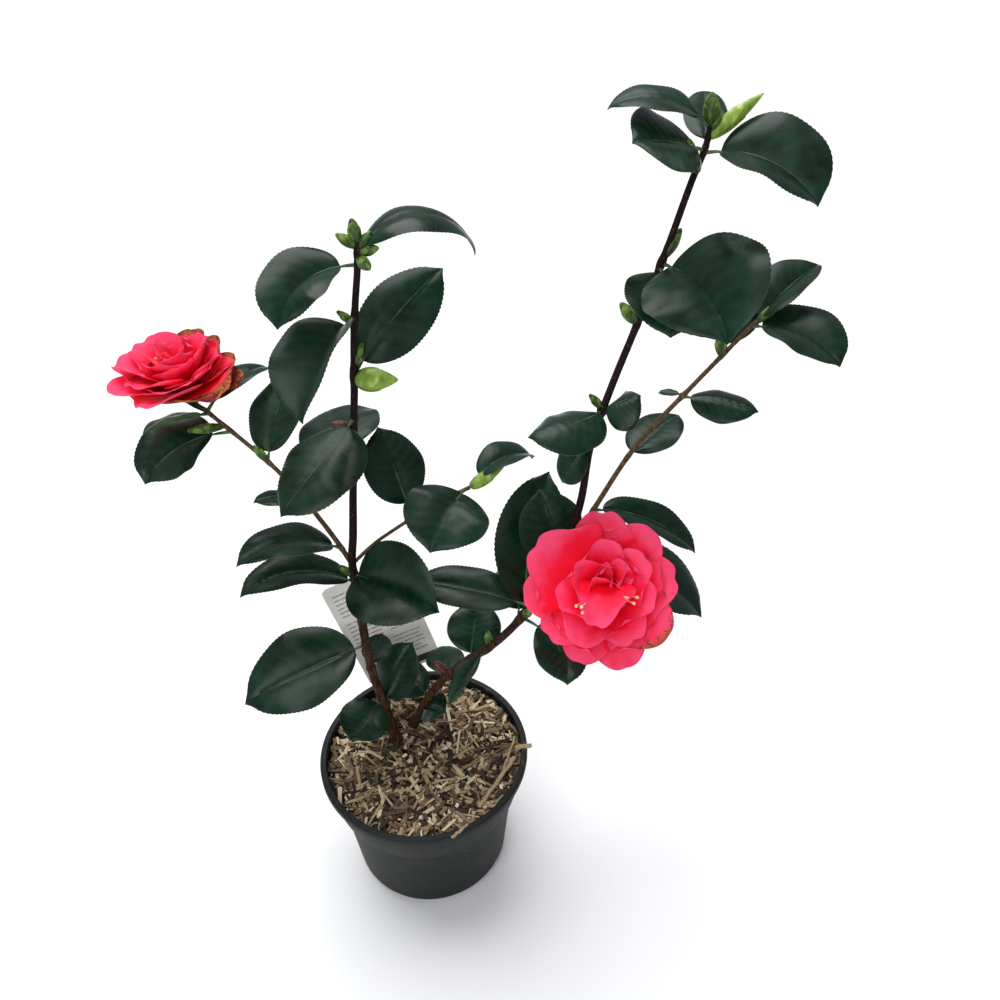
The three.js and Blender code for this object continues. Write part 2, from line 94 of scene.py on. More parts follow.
# %% [markdown]
# ## A builder of meshes
# Leaves, petals, scales and the label are all thin closed sheets, and stems, stalks and
# midribs are tubes. One small class collects such forms, so that a whole kind of thing,
# such as every leaf of a stem, becomes one object. Each point also has a tone from 0 to 1,
# which a finish can read: it marks the veins of a leaf, or how near a petal's tip is.

# %% A builder of meshes
MERGED = 0.012                            # points closer than this become one


class Form:
    """Points in millimetres with their tone, faces, and the finish of each face."""

    def __init__(self):
        self.points, self.tones, self.faces, self.finishes, self.uvs = [], [], [], [], []
        self.count = 0

    def place(self, points, tone=0.0):
        """Adds points of any grid shape and returns their numbers in the same shape."""
        numbers = self.count + np.arange(points[..., 0].size).reshape(points.shape[:-1])
        self.count += numbers.size
        self.points.append(points.reshape(-1, 3))
        self.tones.append(np.broadcast_to(tone, numbers.shape).reshape(-1))
        return numbers

    def skin(self, numbers, finish):
        """Four-sided faces over a grid of point numbers."""
        rows, columns = numbers.shape
        v, u = np.meshgrid(np.linspace(0, 1, rows), np.linspace(0, 1, columns), indexing="ij")
        for grid, out in ((numbers, self.faces), (np.stack([u, v], -1), self.uvs)):
            quads = np.stack([grid[:-1, :-1], grid[:-1, 1:], grid[1:, 1:], grid[1:, :-1]], 2)
            out.extend(quads.reshape(-1, 4, *grid.shape[2:]).tolist())
        self.finishes.extend([finish] * ((rows - 1) * (columns - 1)))

    def cap(self, numbers, finish):
        """One flat face through a ring of point numbers."""
        self.faces.append(list(numbers))
        self.uvs.append([[0, 0]] * len(numbers))
        self.finishes.append(finish)

    def sheet(self, middle, normal, thickness, finish=0, under=None, tone=0.0):
        """A thin closed sheet on both sides of a grid of points."""
        under = finish if under is None else under
        half = np.broadcast_to(thickness, middle.shape[:2])[..., None] / 2
        top = self.place(middle + normal * half, tone)
        back = self.place(middle - normal * half, tone)
        self.skin(top, finish)
        self.skin(back[:, ::-1], under)
        rims = [np.concatenate([g[0], g[1:, -1], g[-1, -2::-1], g[-2::-1, 0]])
                for g in (back, top)]
        self.skin(np.stack(rims), under)

    def tube(self, centres, radii, sides=8, finish=0, tone=0.0):
        """A closed tube along points. Its radii may differ from side to side."""
        along = unit(np.gradient(centres, axis=0))
        side = np.cross(along[0], [0.31, 0.93, 0.2])
        angles = 2 * np.pi * np.arange(sides) / sides
        rings = []
        radii = np.broadcast_to(np.reshape(radii, (len(centres), -1)), (len(centres), sides))
        for centre, ahead, radius in zip(centres, along, radii):
            side = unit(side - ahead * side.dot(ahead))
            across = np.cross(ahead, side)
            turn = np.outer(np.cos(angles), side) + np.outer(np.sin(angles), across)
            rings.append(centre + turn * radius[:, None])
        numbers = self.place(np.array(rings), tone)
        self.skin(np.concatenate([numbers, numbers[:, :1]], axis=1), finish)
        self.cap(numbers[0][::-1], finish)
        self.cap(numbers[-1], finish)

    def lathe(self, profile, sides=144, lift=None):
        """A closed body of revolution from radius and height, from axis to axis."""
        turn = 2 * np.pi * np.arange(sides) / sides
        r, z = np.array(profile[1:-1], float).T
        rings = np.stack([np.outer(r, np.cos(turn)), np.outer(r, np.sin(turn)),
                          np.repeat(z[:, None], sides, 1)], -1)
        if lift is not None:
            rings[..., 2] += lift(rings)
        numbers = self.place(rings)
        self.skin(np.concatenate([numbers, numbers[:, :1]], axis=1), 0)
        for (_, height), ring in ((profile[0], numbers[0]), (profile[-1], numbers[-1])):
            pole = self.place(np.array([0.0, 0.0, height]))
            for a, b in zip(ring, np.roll(ring, -1)):
                self.cap([int(pole), int(a), int(b)], 0)

    def mesh(self, name, finishes, sharp=50):
        """The collected form as a mesh in metres, its faces turned outwards."""
        mesh = bpy.data.meshes.new(name)
        mesh.from_pydata((np.concatenate(self.points) * MM).tolist(), [], self.faces)
        for finish in finishes:
            mesh.materials.append(finish)
        mesh.polygons.foreach_set("material_index", self.finishes)
        layer = mesh.uv_layers.new(name="along")
        layer.data.foreach_set("uv", [x for face in self.uvs for corner in face for x in corner])
        tone = mesh.attributes.new("tone", "FLOAT", "POINT")
        tone.data.foreach_set("value", np.concatenate(self.tones).astype(np.float32))
        tidy = bmesh.new()
        tidy.from_mesh(mesh)
        bmesh.ops.remove_doubles(tidy, verts=tidy.verts, dist=MERGED * MM)
        bmesh.ops.recalc_face_normals(tidy, faces=tidy.faces)
        tidy.to_mesh(mesh)
        tidy.free()
        mesh.polygons.foreach_set("use_smooth", [True] * len(mesh.polygons))
        mesh.set_sharp_from_angle(angle=math.radians(sharp))
        return mesh

    def piece(self, name, finishes, stands_for, slot, sharp=50):
        """The collected form as a piece of the plant, in place of solid nodes."""
        dress(name, self.mesh(name, finishes, sharp), stands_for)


def stand(name, data):
    """A new object in the scene, made of a mesh, a light or a camera."""
    made = bpy.data.objects.new(name, data)
    bpy.context.scene.collection.objects.link(made)
    return made


def dress(name, mesh, stands_for):
    """A mesh as a piece that rides on the plant's only body."""
    piece = stand(name, mesh)
    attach(piece, "root")
    if stands_for:
        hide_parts(*stands_for)
    print(f"{name}: {sum(len(p.vertices) - 2 for p in mesh.polygons)} triangles")


# %% [markdown]
# ## A helper for node trees
# Finishes and Geometry Nodes trees are both made of nodes. One function adds a node, sets
# its options, feeds its inputs with values or with other nodes' outputs, and gives back the
# output that the next step needs. So a tree reads as a list of steps.

# %% A helper for node trees
def add(tree, kind, feeds, stops=(), out=0, into=None, **options):
    """Adds a node and returns one of its outputs, which may also go into a socket.

    Feeds are values or other outputs by input, and stops are the colours of a ramp.
    """
    made = tree.nodes.new(kind)
    for option, value in options.items():
        setattr(made, option, value)
    for key, value in feeds.items():
        if isinstance(value, bpy.types.NodeSocket):
            tree.links.new(value, made.inputs[key])
        else:
            made.inputs[key].default_value = value
    if stops:
        ramp = made.color_ramp
        while len(ramp.elements) < len(stops):
            ramp.elements.new(0.5)
        for element, (position, code) in zip(ramp.elements, stops):
            element.position = position
            element.color = colour(code)
    if into is not None:
        tree.links.new(made.outputs[out], into)
    return made.outputs[out]


def colour(code):
    """A linear colour from an sRGB hex code."""
    parts = [int(code[i:i + 2], 16) / 255 for i in (1, 3, 5)]
    return tuple(c / 12.92 if c <= 0.04045 else ((c + 0.055) / 1.055) ** 2.4
                 for c in parts) + (1.0,)


def every(size):
    """The scale of a texture whose pattern repeats about every so many millimetres."""
    return 1 / (size * MM)


# %% [markdown]
# ## What all finishes share
# A finish starts as a plain material with its constant settings, and every pattern on it is
# measured from the plant's own origin. Nearly all have a fine relief, and several are no
# more than a colour that drifts in patches under such a relief.

# %% What all finishes share
def finish(name, **sockets):
    """A new material. Returns it, its tree, its shader's inputs and the place of a point."""
    made = bpy.data.materials.new(name)
    made.use_nodes = True
    shader = made.node_tree.nodes["Principled BSDF"].inputs
    for socket, value in sockets.items():
        shader[socket.replace("_", " ")].default_value = value
    where = add(made.node_tree, "ShaderNodeTexCoord", {}, out="Object")
    return made, made.node_tree, shader, where


def fine_relief(tree, shader, where, size, detail, depth, strength):
    """A noise of a size that raises bumps of a depth, both in millimetres."""
    fine = add(tree, "ShaderNodeTexNoise", {"Vector": where, "Scale": every(size),
                                            "Detail": detail})
    add(tree, "ShaderNodeBump", {"Height": fine, "Distance": depth * MM, "Strength": strength},
        into=shader["Normal"])


def mottled(name, size, detail, stops, relief=None, **sockets):
    """A finish in patches of a size. Relief is its size, detail, depth and strength."""
    made, tree, shader, where = finish(name, **sockets)
    patches = add(tree, "ShaderNodeTexNoise", {"Vector": where, "Scale": every(size),
                                               "Detail": detail})
    add(tree, "ShaderNodeValToRGB", {"Fac": patches}, stops, into=shader["Base Color"])
    if relief:
        fine_relief(tree, shader, where, *relief)
    return made


# %% [markdown]
# ## The leaves' finishes
# A camellia leaf has a thick waxy skin: dark blue-green and glossy above, paler and dull
# below. The gloss comes from a low roughness that drifts a little over the blade, and the
# skin between the veins is very slightly puckered. The veins are fed by the mesh's tone.

# %% The skins and the rib of a leaf
def leaf_skin(name, size, detail, greens, vein_green, relief, gloss=None, **sockets):
    """Green skin in patches with paler veins. Gloss is the span of its roughness."""
    made, tree, shader, where = finish(name, **sockets)
    cloud = add(tree, "ShaderNodeTexNoise", {"Vector": where, "Scale": every(size),
                                             "Detail": detail})
    green = add(tree, "ShaderNodeValToRGB", {"Fac": cloud}, greens)
    vein = add(tree, "ShaderNodeAttribute", {}, out="Fac", attribute_name="tone")
    add(tree, "ShaderNodeMix", {0: vein, 6: green, 7: colour(vein_green)}, out=2,
        into=shader["Base Color"], data_type="RGBA")
    if gloss:
        add(tree, "ShaderNodeMapRange", {"Value": cloud, "From Min": 0.3, "From Max": 0.7,
                                         "To Min": gloss[0], "To Max": gloss[1]},
            into=shader["Roughness"])
    fine_relief(tree, shader, where, *relief)
    return made


# The waxed upper skin is deep green with soft, broken highlights, and the underside is
# paler, matte and faintly grainy.
LEAF_FINISHES = [
    leaf_skin("waxy_leaf_upper", 16, 4,
              [(0.3, "#091d12"), (0.5, "#0f2a1b"), (0.72, "#163525")], "#315e42",
              (1.6, 3, 0.10, 0.5), gloss=(0.24, 0.40), IOR=1.32),
    leaf_skin("matte_leaf_underside", 9, 5, [(0.3, "#2f4a2a"), (0.7, "#4c6a3c")], "#6f8a50",
              (1.1, 2, 0.12, 0.6), IOR=1.4, Roughness=0.6)]

# Stalk and midrib are firm yellow-green tissue, smooth, browner in places.
LEAF_RIB = mottled("green_leaf_rib", 7, 3,
                   [(0.3, "#22381e"), (0.5, "#3a5630"), (0.75, "#5c7440")],
                   (0.9, 2, 0.08, 0.5), IOR=1.42, Roughness=0.45)


# %% [markdown]
# ## The woody finishes
# Young camellia wood is smooth and dark brown. Lower down it has grown a thin reddish bark
# that cracks lengthwise, and the side branches are greyer. The mesh's tone says how old
# the wood is at a point, so one finish can pass from old to young without a seam.

# %% Bark
def bark(name, old, young, streak):
    """Thin young bark: streaks along the stem with small cracks and specks."""
    made, tree, shader, where = finish(name, IOR=1.25, Roughness=0.75)
    drawn = add(tree, "ShaderNodeMapping", {"Vector": where, "Scale": (1, 1, 0.18)})
    streaks = add(tree, "ShaderNodeTexNoise", {"Vector": drawn, "Scale": every(streak),
                                               "Detail": 5, "Roughness": 0.65})
    browns = [add(tree, "ShaderNodeValToRGB", {"Fac": streaks},
                  list(zip((0.3, 0.52, 0.74), shades))) for shades in (young, old)]
    age = add(tree, "ShaderNodeAttribute", {}, out="Fac", attribute_name="tone")
    brown = add(tree, "ShaderNodeMix", {0: age, 6: browns[0], 7: browns[1]}, out=2,
                data_type="RGBA")
    specks = add(tree, "ShaderNodeTexVoronoi", {"Vector": where, "Scale": every(2.6)})
    spot = add(tree, "ShaderNodeMapRange", {"Value": specks, "From Min": 0.12,
                                            "From Max": 0.2, "To Min": 0.5, "To Max": 0.0})
    add(tree, "ShaderNodeMix", {0: spot, 6: brown, 7: colour(old[2])}, out=2,
        into=shader["Base Color"], data_type="RGBA")
    add(tree, "ShaderNodeBump", {"Height": streaks, "Distance": 0.35 * MM, "Strength": 0.7},
        into=shader["Normal"])
    return made


STEM_BARK = bark("red_brown_young_bark", old=("#180e08", "#3c2618", "#7d573a"),
                 young=("#0c0605", "#1b0e0b", "#301c15"), streak=1.4)
TWIG_BARK = bark("grey_brown_twig_bark", old=("#3b2a20", "#62493a", "#8b765f"),
                 young=("#33261a", "#57432f", "#7c6a45"), streak=1.2)


# %% [markdown]
# ## The finishes of buds and blooms
# Bud scales are smooth, pale green and a little see-through. Petals are soft: light goes
# into them and comes out again, which subsurface scattering gives. They are painted deeper
# red at the foot, as painted shade in the heart of the bloom, and paler towards the rim.
# A spoilt petal turns brown and crisp from its edge.

# %% Bud scales and the calyx
def bud_scale(name, dark, middle, pale):
    """Bud scale: smooth, slightly silky, paler to the tip."""
    made, tree, shader, where = finish(name, IOR=1.42, Roughness=0.48, Subsurface_Weight=0.1,
                                       Subsurface_Scale=1.0 * MM)
    drawn = add(tree, "ShaderNodeMapping", {"Vector": where, "Scale": (1, 1, 0.5)})
    cloud = add(tree, "ShaderNodeTexNoise", {"Vector": drawn, "Scale": every(3.5),
                                             "Detail": 4})
    tip = add(tree, "ShaderNodeAttribute", {}, out="Fac", attribute_name="tone")
    blend = add(tree, "ShaderNodeMath", {0: cloud, 1: tip}, operation="ADD")
    add(tree, "ShaderNodeValToRGB", {"Fac": blend},
        [(0.4, dark), (0.75, middle), (1.0, pale)], into=shader["Base Color"])
    fine_relief(tree, shader, drawn, 0.7, 2, 0.06, 0.5)
    return made


BUD_FINISHES = [bud_scale("fresh_bud_scale", "#1a2c0a", "#314e17", "#74943a"),
                bud_scale("flower_bud_scale", "#56741f", "#84a438", "#bdd177"),
                bud_scale("withered_bud_scale", "#2a1512", "#4a261c", "#6e3a2a")]


# %% Petals
def petal(name, burn):
    """Velvety coral red petal. Burn is how far its rim is brown and crisp, 0 for fresh."""
    made, tree, shader, where = finish(name, IOR=1.28, Roughness=0.6, Subsurface_Weight=0.25,
                                       Subsurface_Radius=(1.0, 0.35, 0.25),
                                       Subsurface_Scale=1.6 * MM)
    tip = add(tree, "ShaderNodeAttribute", {}, out="Fac", attribute_name="tone")
    cloud = add(tree, "ShaderNodeTexNoise", {"Vector": where, "Scale": every(11), "Detail": 4})
    vary = add(tree, "ShaderNodeMapRange", {"Value": cloud, "From Min": 0.3, "From Max": 0.7,
                                            "To Min": -0.18, "To Max": 0.18})
    blend = add(tree, "ShaderNodeMath", {0: vary, 1: tip}, operation="ADD")
    # Painted shade: the red is deepest at the petal's foot, in the heart of the bloom, and paler
    # towards the tip.
    petal_red_and_painted_shade = add(tree, "ShaderNodeValToRGB", {"Fac": blend},
                  [(0.1, "#f80018"), (0.5, "#ff163e"), (0.95, "#ff4a76")])
    if burn:
        crisp = add(tree, "ShaderNodeTexNoise", {"Vector": where, "Scale": every(7),
                                                 "Detail": 8, "Roughness": 0.75,
                                                 "Distortion": 1.2})
        edge = add(tree, "ShaderNodeMath", {0: crisp, 1: tip}, operation="ADD")
        scorch = add(tree, "ShaderNodeMapRange", {"Value": edge,
                                                  "From Min": 1.4 - 0.26 * burn,
                                                  "From Max": 1.52 - 0.24 * burn})
        brown = add(tree, "ShaderNodeValToRGB", {"Fac": crisp},
                    [(0.38, "#43120e"), (0.5, "#7c2c1c"), (0.55, "#c08040"),
                     (0.58, "#6b241a"), (0.7, "#a8663a")])
        petal_red_and_painted_shade = add(tree, "ShaderNodeMix", {0: scorch, 6: petal_red_and_painted_shade, 7: brown}, out=2,
                      data_type="RGBA")
    tree.links.new(petal_red_and_painted_shade, shader["Base Color"])
    fine_relief(tree, shader, where, 1.4, 3, 0.16, 0.5)
    return made


FRESH, SCORCHED, SPOTTED, TINGED = range(4)
PETAL_FINISHES = [petal("velvety_fresh_petal", 0), petal("scorched_old_petal", 1.4),
                  petal("spotted_petal", 0.42), petal("tinged_petal", 0.1)]


# %% Stamens
# Filaments are waxy threads, and anthers are their powdery heads.
STAMEN_FINISHES = [
    mottled(name, 1.5, 2, [(0.35, dark), (0.65, pale)], (1.5, 2, 0.1, 0.6), IOR=1.4,
            Roughness=0.6)
    for name, dark, pale in (("pale_pink_filament", "#f0949e", "#fbe3d4"),
                             ("powdery_yellow_anther", "#eea768", "#ffe3b4"))]


# %% [markdown]
# ## The finishes of pot, chippings and label
# The pot is thin moulded plastic, slate grey and dull, with a few faint scratches. Wood
# chippings run from fresh straw to weathered grey-brown, so each chip carries its own
# random tone. The label is a printed card of off-white plastic.

# %% Pot plastic
def pot_plastic():
    """Moulded polypropylene with a fine matte grain, and thin curved scratches."""
    made, tree, shader, where = finish("matte_slate_polypropylene", IOR=1.35)
    cloud = add(tree, "ShaderNodeTexNoise", {"Vector": where, "Scale": every(28), "Detail": 6,
                                             "Roughness": 0.6})
    slate = add(tree, "ShaderNodeValToRGB", {"Fac": cloud},
                [(0.3, "#080b0b"), (0.55, "#0e1312"), (0.75, "#191f1d")])
    # A scratch is one contour of a slow swirl, and only shows in worn patches.
    swirl = add(tree, "ShaderNodeTexNoise", {"Vector": where, "Scale": every(30), "Detail": 2,
                                             "Distortion": 0.8})
    contour = add(tree, "ShaderNodeMath", {0: swirl, 1: 0.5, 2: 0.007}, operation="COMPARE")
    patch = add(tree, "ShaderNodeTexNoise", {"Vector": where, "Scale": every(13), "Detail": 2})
    worn = add(tree, "ShaderNodeMapRange", {"Value": patch, "From Min": 0.5,
                                            "From Max": 0.68, "To Max": 0.22})
    scratch = add(tree, "ShaderNodeMath", {0: contour, 1: worn}, operation="MULTIPLY")
    add(tree, "ShaderNodeMix", {0: scratch, 6: slate, 7: colour("#6e716c")}, out=2,
        into=shader["Base Color"], data_type="RGBA")
    add(tree, "ShaderNodeMapRange", {"Value": cloud, "To Min": 0.45, "To Max": 0.7},
        into=shader["Roughness"])
    fine_relief(tree, shader, where, 0.8, 2, 0.08, 0.5)
    return made


# %% Chippings and compost
def chippings():
    """Chopped wood: straw, tan and grey-brown, with the fibres running through it."""
    made, tree, shader, where = finish("chopped_wood_fibre", IOR=1.5, Roughness=0.85)
    tone = add(tree, "ShaderNodeAttribute", {}, out="Fac", attribute_name="tone")
    wood = add(tree, "ShaderNodeValToRGB", {"Fac": tone},
               [(0.0, "#181009"), (0.25, "#463526"), (0.5, "#7d674c"), (0.75, "#b8a07c"),
                (1.0, "#f2e2c0")])
    fibre = add(tree, "ShaderNodeTexNoise", {"Vector": where, "Scale": every(1.2), "Detail": 5,
                                             "Roughness": 0.7})
    shade = add(tree, "ShaderNodeMapRange", {"Value": fibre, "From Min": 0.3, "From Max": 0.7,
                                             "To Min": 0.62, "To Max": 1.15})
    add(tree, "ShaderNodeMix", {0: 1.0, 6: wood, 7: shade}, out=2, into=shader["Base Color"],
        data_type="RGBA", blend_type="MULTIPLY")
    add(tree, "ShaderNodeBump", {"Height": fibre, "Distance": 0.3 * MM, "Strength": 0.8},
        into=shader["Normal"])
    return made


def compost():
    """Damp compost between the chips: nearly black and crumbly."""
    made, tree, shader, where = finish("damp_dark_compost", IOR=1.45, Roughness=0.9)
    crumb = add(tree, "ShaderNodeTexNoise", {"Vector": where, "Scale": every(3), "Detail": 7,
                                             "Roughness": 0.7})
    add(tree, "ShaderNodeValToRGB", {"Fac": crumb},
        [(0.35, "#140e09"), (0.55, "#2b1f14"), (0.75, "#4a3723")], into=shader["Base Color"])
    add(tree, "ShaderNodeBump", {"Height": crumb, "Distance": 1.0 * MM, "Strength": 0.9},
        into=shader["Normal"])
    return made


POT_PLASTIC, CHIPPINGS, COMPOST = pot_plastic(), chippings(), compost()

# %% Label card and ink
# The card is smooth plastic, off-white and lightly soiled. Its ink is thin and flat.
CARD = mottled("off_white_label_card", 22, 5,
               [(0.3, "#dcd8d2"), (0.55, "#e8e4de"), (0.8, "#efece7")],
               (1.5, 2, 0.05, 0.4), IOR=1.46, Roughness=0.5)
INKS = [mottled(name, 2, 4, [(0.35, dark), (0.7, pale)], (2, 4, 0.03, 0.4), IOR=1.46,
                Roughness=0.55)
        for name, dark, pale in (("grey_printing_ink", "#75767a", "#98989a"),
                                 ("black_printing_ink", "#1d1f22", "#303236"))]


# %% [markdown]
# ## The pot
# The pot is a thin moulded shell: a tapering body, a step up to a plain band, and a lip
# turned over and down. It is round, so its half section is written down once and turned
# about the axis. Slots through the rounded edge of the base let the water out, and each
# is cut by a block, as the mould's inserts do.

# %% The pot's sizes and section
POT = dict(height=110.6, rim_radius=75, lip_height=5, lip_thickness=1.3, lip_rounding=1.4,
           band_top_radius=72, band_foot_radius=67.8, band_height=31, body_top_radius=64.2,
           base_radius=56.6, corner_radius=9, wall=1.6, drain_slots=8)
SLOT_HALF, SLOT_INSET = (6, 4.5, 2.5), 3  # half the size of a slot's block, and its place
STEP = POT["height"] - POT["band_height"]
FILL_GAP = 0.3                            # between the wall and the filling
SOIL_TOP = 103


def pot_radius(z):
    """The radius outside the wall at a height, below the lip."""
    if z < STEP:
        return POT["base_radius"] + (POT["body_top_radius"] - POT["base_radius"]) * z / STEP
    up = min((z - STEP) / (POT["band_height"] - POT["lip_height"]), 1)
    return POT["band_foot_radius"] + (POT["band_top_radius"] - POT["band_foot_radius"]) * up


def base_corner(inset):
    """The rounded edge of the base, moved inwards from the outside by an inset."""
    corner = POT["corner_radius"]
    middle = pot_radius(corner) - corner
    turns = np.radians(np.linspace(0, 90, 9))
    return [(middle + (corner - inset) * math.sin(a), corner - (corner - inset) * math.cos(a))
            for a in turns]


def hollow(inset, top):
    """Half the section of the inside, from the axis up to a height."""
    lip_foot = POT["height"] - POT["lip_height"]
    return [(0, inset), *base_corner(inset), (POT["body_top_radius"] - inset, STEP - 2),
            (pot_radius(STEP + 1) - inset, STEP + 1),
            (pot_radius(top) - inset, min(top, lip_foot)), (pot_radius(top) - inset, top)]


# %% The pot's shell
def pot_section():
    """Half the section of the whole shell, up the outside and down the inside."""
    height, rim, thick = POT["height"], POT["rim_radius"], POT["lip_thickness"]
    soft = POT["lip_rounding"]
    lip_foot = height - POT["lip_height"]
    band = POT["band_top_radius"]
    turns = np.radians(np.linspace(0, 90, 6))
    edge = [(rim - soft + soft * math.cos(a), height - soft + soft * math.sin(a))
            for a in turns]
    outside = [(0, 0), *base_corner(0), (POT["body_top_radius"], STEP - 3),
               (POT["body_top_radius"] + 0.6, STEP - 2.4),
               (POT["band_foot_radius"] - 0.6, STEP - 0.6), (POT["band_foot_radius"], STEP),
               (POT["band_foot_radius"] + 0.3, STEP + 1),
               (band, lip_foot), (band, height - thick - 0.3), (rim - thick, height - thick),
               (rim - thick, lip_foot + 0.3), (rim - thick / 2, lip_foot), (rim, lip_foot + 0.4)]
    inside = hollow(POT["wall"], height)[::-1]
    inside[0] = (inside[0][0], height - 0.5)
    return outside + edge + [(inside[0][0] + 0.5, height)] + inside


def cutter_block(angle):
    """A block across the base's rounded edge at an angle."""
    block = bpy.data.meshes.new("slot_cutter")
    signs = np.array([(x, y, z) for x in (-1, 1) for y in (-1, 1) for z in (-1, 1)])
    corners = signs * SLOT_HALF + [pot_radius(0) - SLOT_INSET, 0, SLOT_INSET]
    turned = corners @ np.array(Matrix.Rotation(math.radians(angle), 3, "Z")).T
    block.from_pydata((turned * MM).tolist(), [], [(0, 1, 3, 2), (4, 6, 7, 5), (0, 4, 5, 1),
                                                   (2, 3, 7, 6), (0, 2, 6, 4), (1, 5, 7, 3)])
    return bpy.data.objects.new("slot_cutter", block)


def applied(piece):
    """The mesh of an object with its modifiers applied."""
    bpy.context.view_layer.update()
    graph = bpy.context.evaluated_depsgraph_get()
    return bpy.data.meshes.new_from_object(piece.evaluated_get(graph))


shell = Form()
shell.lathe(pot_section())
blank = stand("pot_blank", shell.mesh("pot_blank", [POT_PLASTIC], sharp=35))
cutters = bpy.data.collections.new("slot_cutters")
bpy.context.scene.collection.children.link(cutters)
for k in range(POT["drain_slots"]):
    cutters.objects.link(cutter_block(360 * (k + 0.5) / POT["drain_slots"]))
cut = blank.modifiers.new("drain_slots", "BOOLEAN")
cut.operand_type, cut.collection, cut.solver = "COLLECTION", cutters, "EXACT"
pot_mesh = applied(blank)
for block in list(cutters.objects):
    bpy.data.objects.remove(block)
bpy.data.collections.remove(cutters)
bpy.data.objects.remove(blank)
dress("nursery_pot", pot_mesh, ["pot"])


# %% [markdown]
# ## The bed of compost
# Under the chips lies dark compost. It is only seen in the gaps, so it is the pot's hollow
# turned into a body whose top is uneven, a little below the chips.

# %% The bed of compost
BED_TOP, BED_RADIUS = SOIL_TOP - 2.2, 69
BED_BUMP, BED_BUMP_SIZE = 1.6, 9


def uneven(points):
    """How far the bed's top rises or falls at each point: nothing at its wall and foot."""
    lift = np.zeros(points.shape[:-1])
    from_axis = np.hypot(points[..., 0], points[..., 1])
    on_top = (points[..., 2] > BED_TOP - 0.1) & (from_axis < BED_RADIUS - 1)
    for place in np.argwhere(on_top):
        x, y, _ = points[tuple(place)]
        lift[tuple(place)] = BED_BUMP * noise.noise(Vector((x / BED_BUMP_SIZE,
                                                            y / BED_BUMP_SIZE, 3.0)))
    return lift


bed = Form()
top_rings = [(r, BED_TOP) for r in np.linspace(BED_RADIUS, 2, 34)]
bed.lathe(hollow(POT["wall"] + FILL_GAP, BED_TOP) + top_rings + [(0, BED_TOP)], lift=uneven)
bed.piece("compost_bed", [COMPOST], ["bark_soil"], "chippings", sharp=80)


# %% [markdown]
# ## The chippings
# The pot is mulched with chopped wood: flat slivers from a few millimetres to two and a
# half centimetres long, lying every way on top of each other. Two thousand similar things
# over a surface are what Geometry Nodes are for. The tree strews points over a disc, puts
# a sliver on each with its own turn, size and tone, and then shakes every corner a little,
# so that no two slivers stay alike.

# %% The tree that strews chips
CHIP_RANGES = {"height": (0.0, 1.0), "share": (0.0, 1.0), "width": (0.8 * MM, 2.9 * MM),
               "thickness": (0.4 * MM, 1.1 * MM), "tone": (0.0, 1.0)}
CHIP_TILT, CHIP_ROLL = 0.34, 0.26         # at most, in radians
SHORTEST_CHIP, FEW_LONG = 3 * MM, 2.4     # the higher the power, the fewer are long
CHIP_SHAKE, SHAKE_SIZE = 1.9 * MM, 4


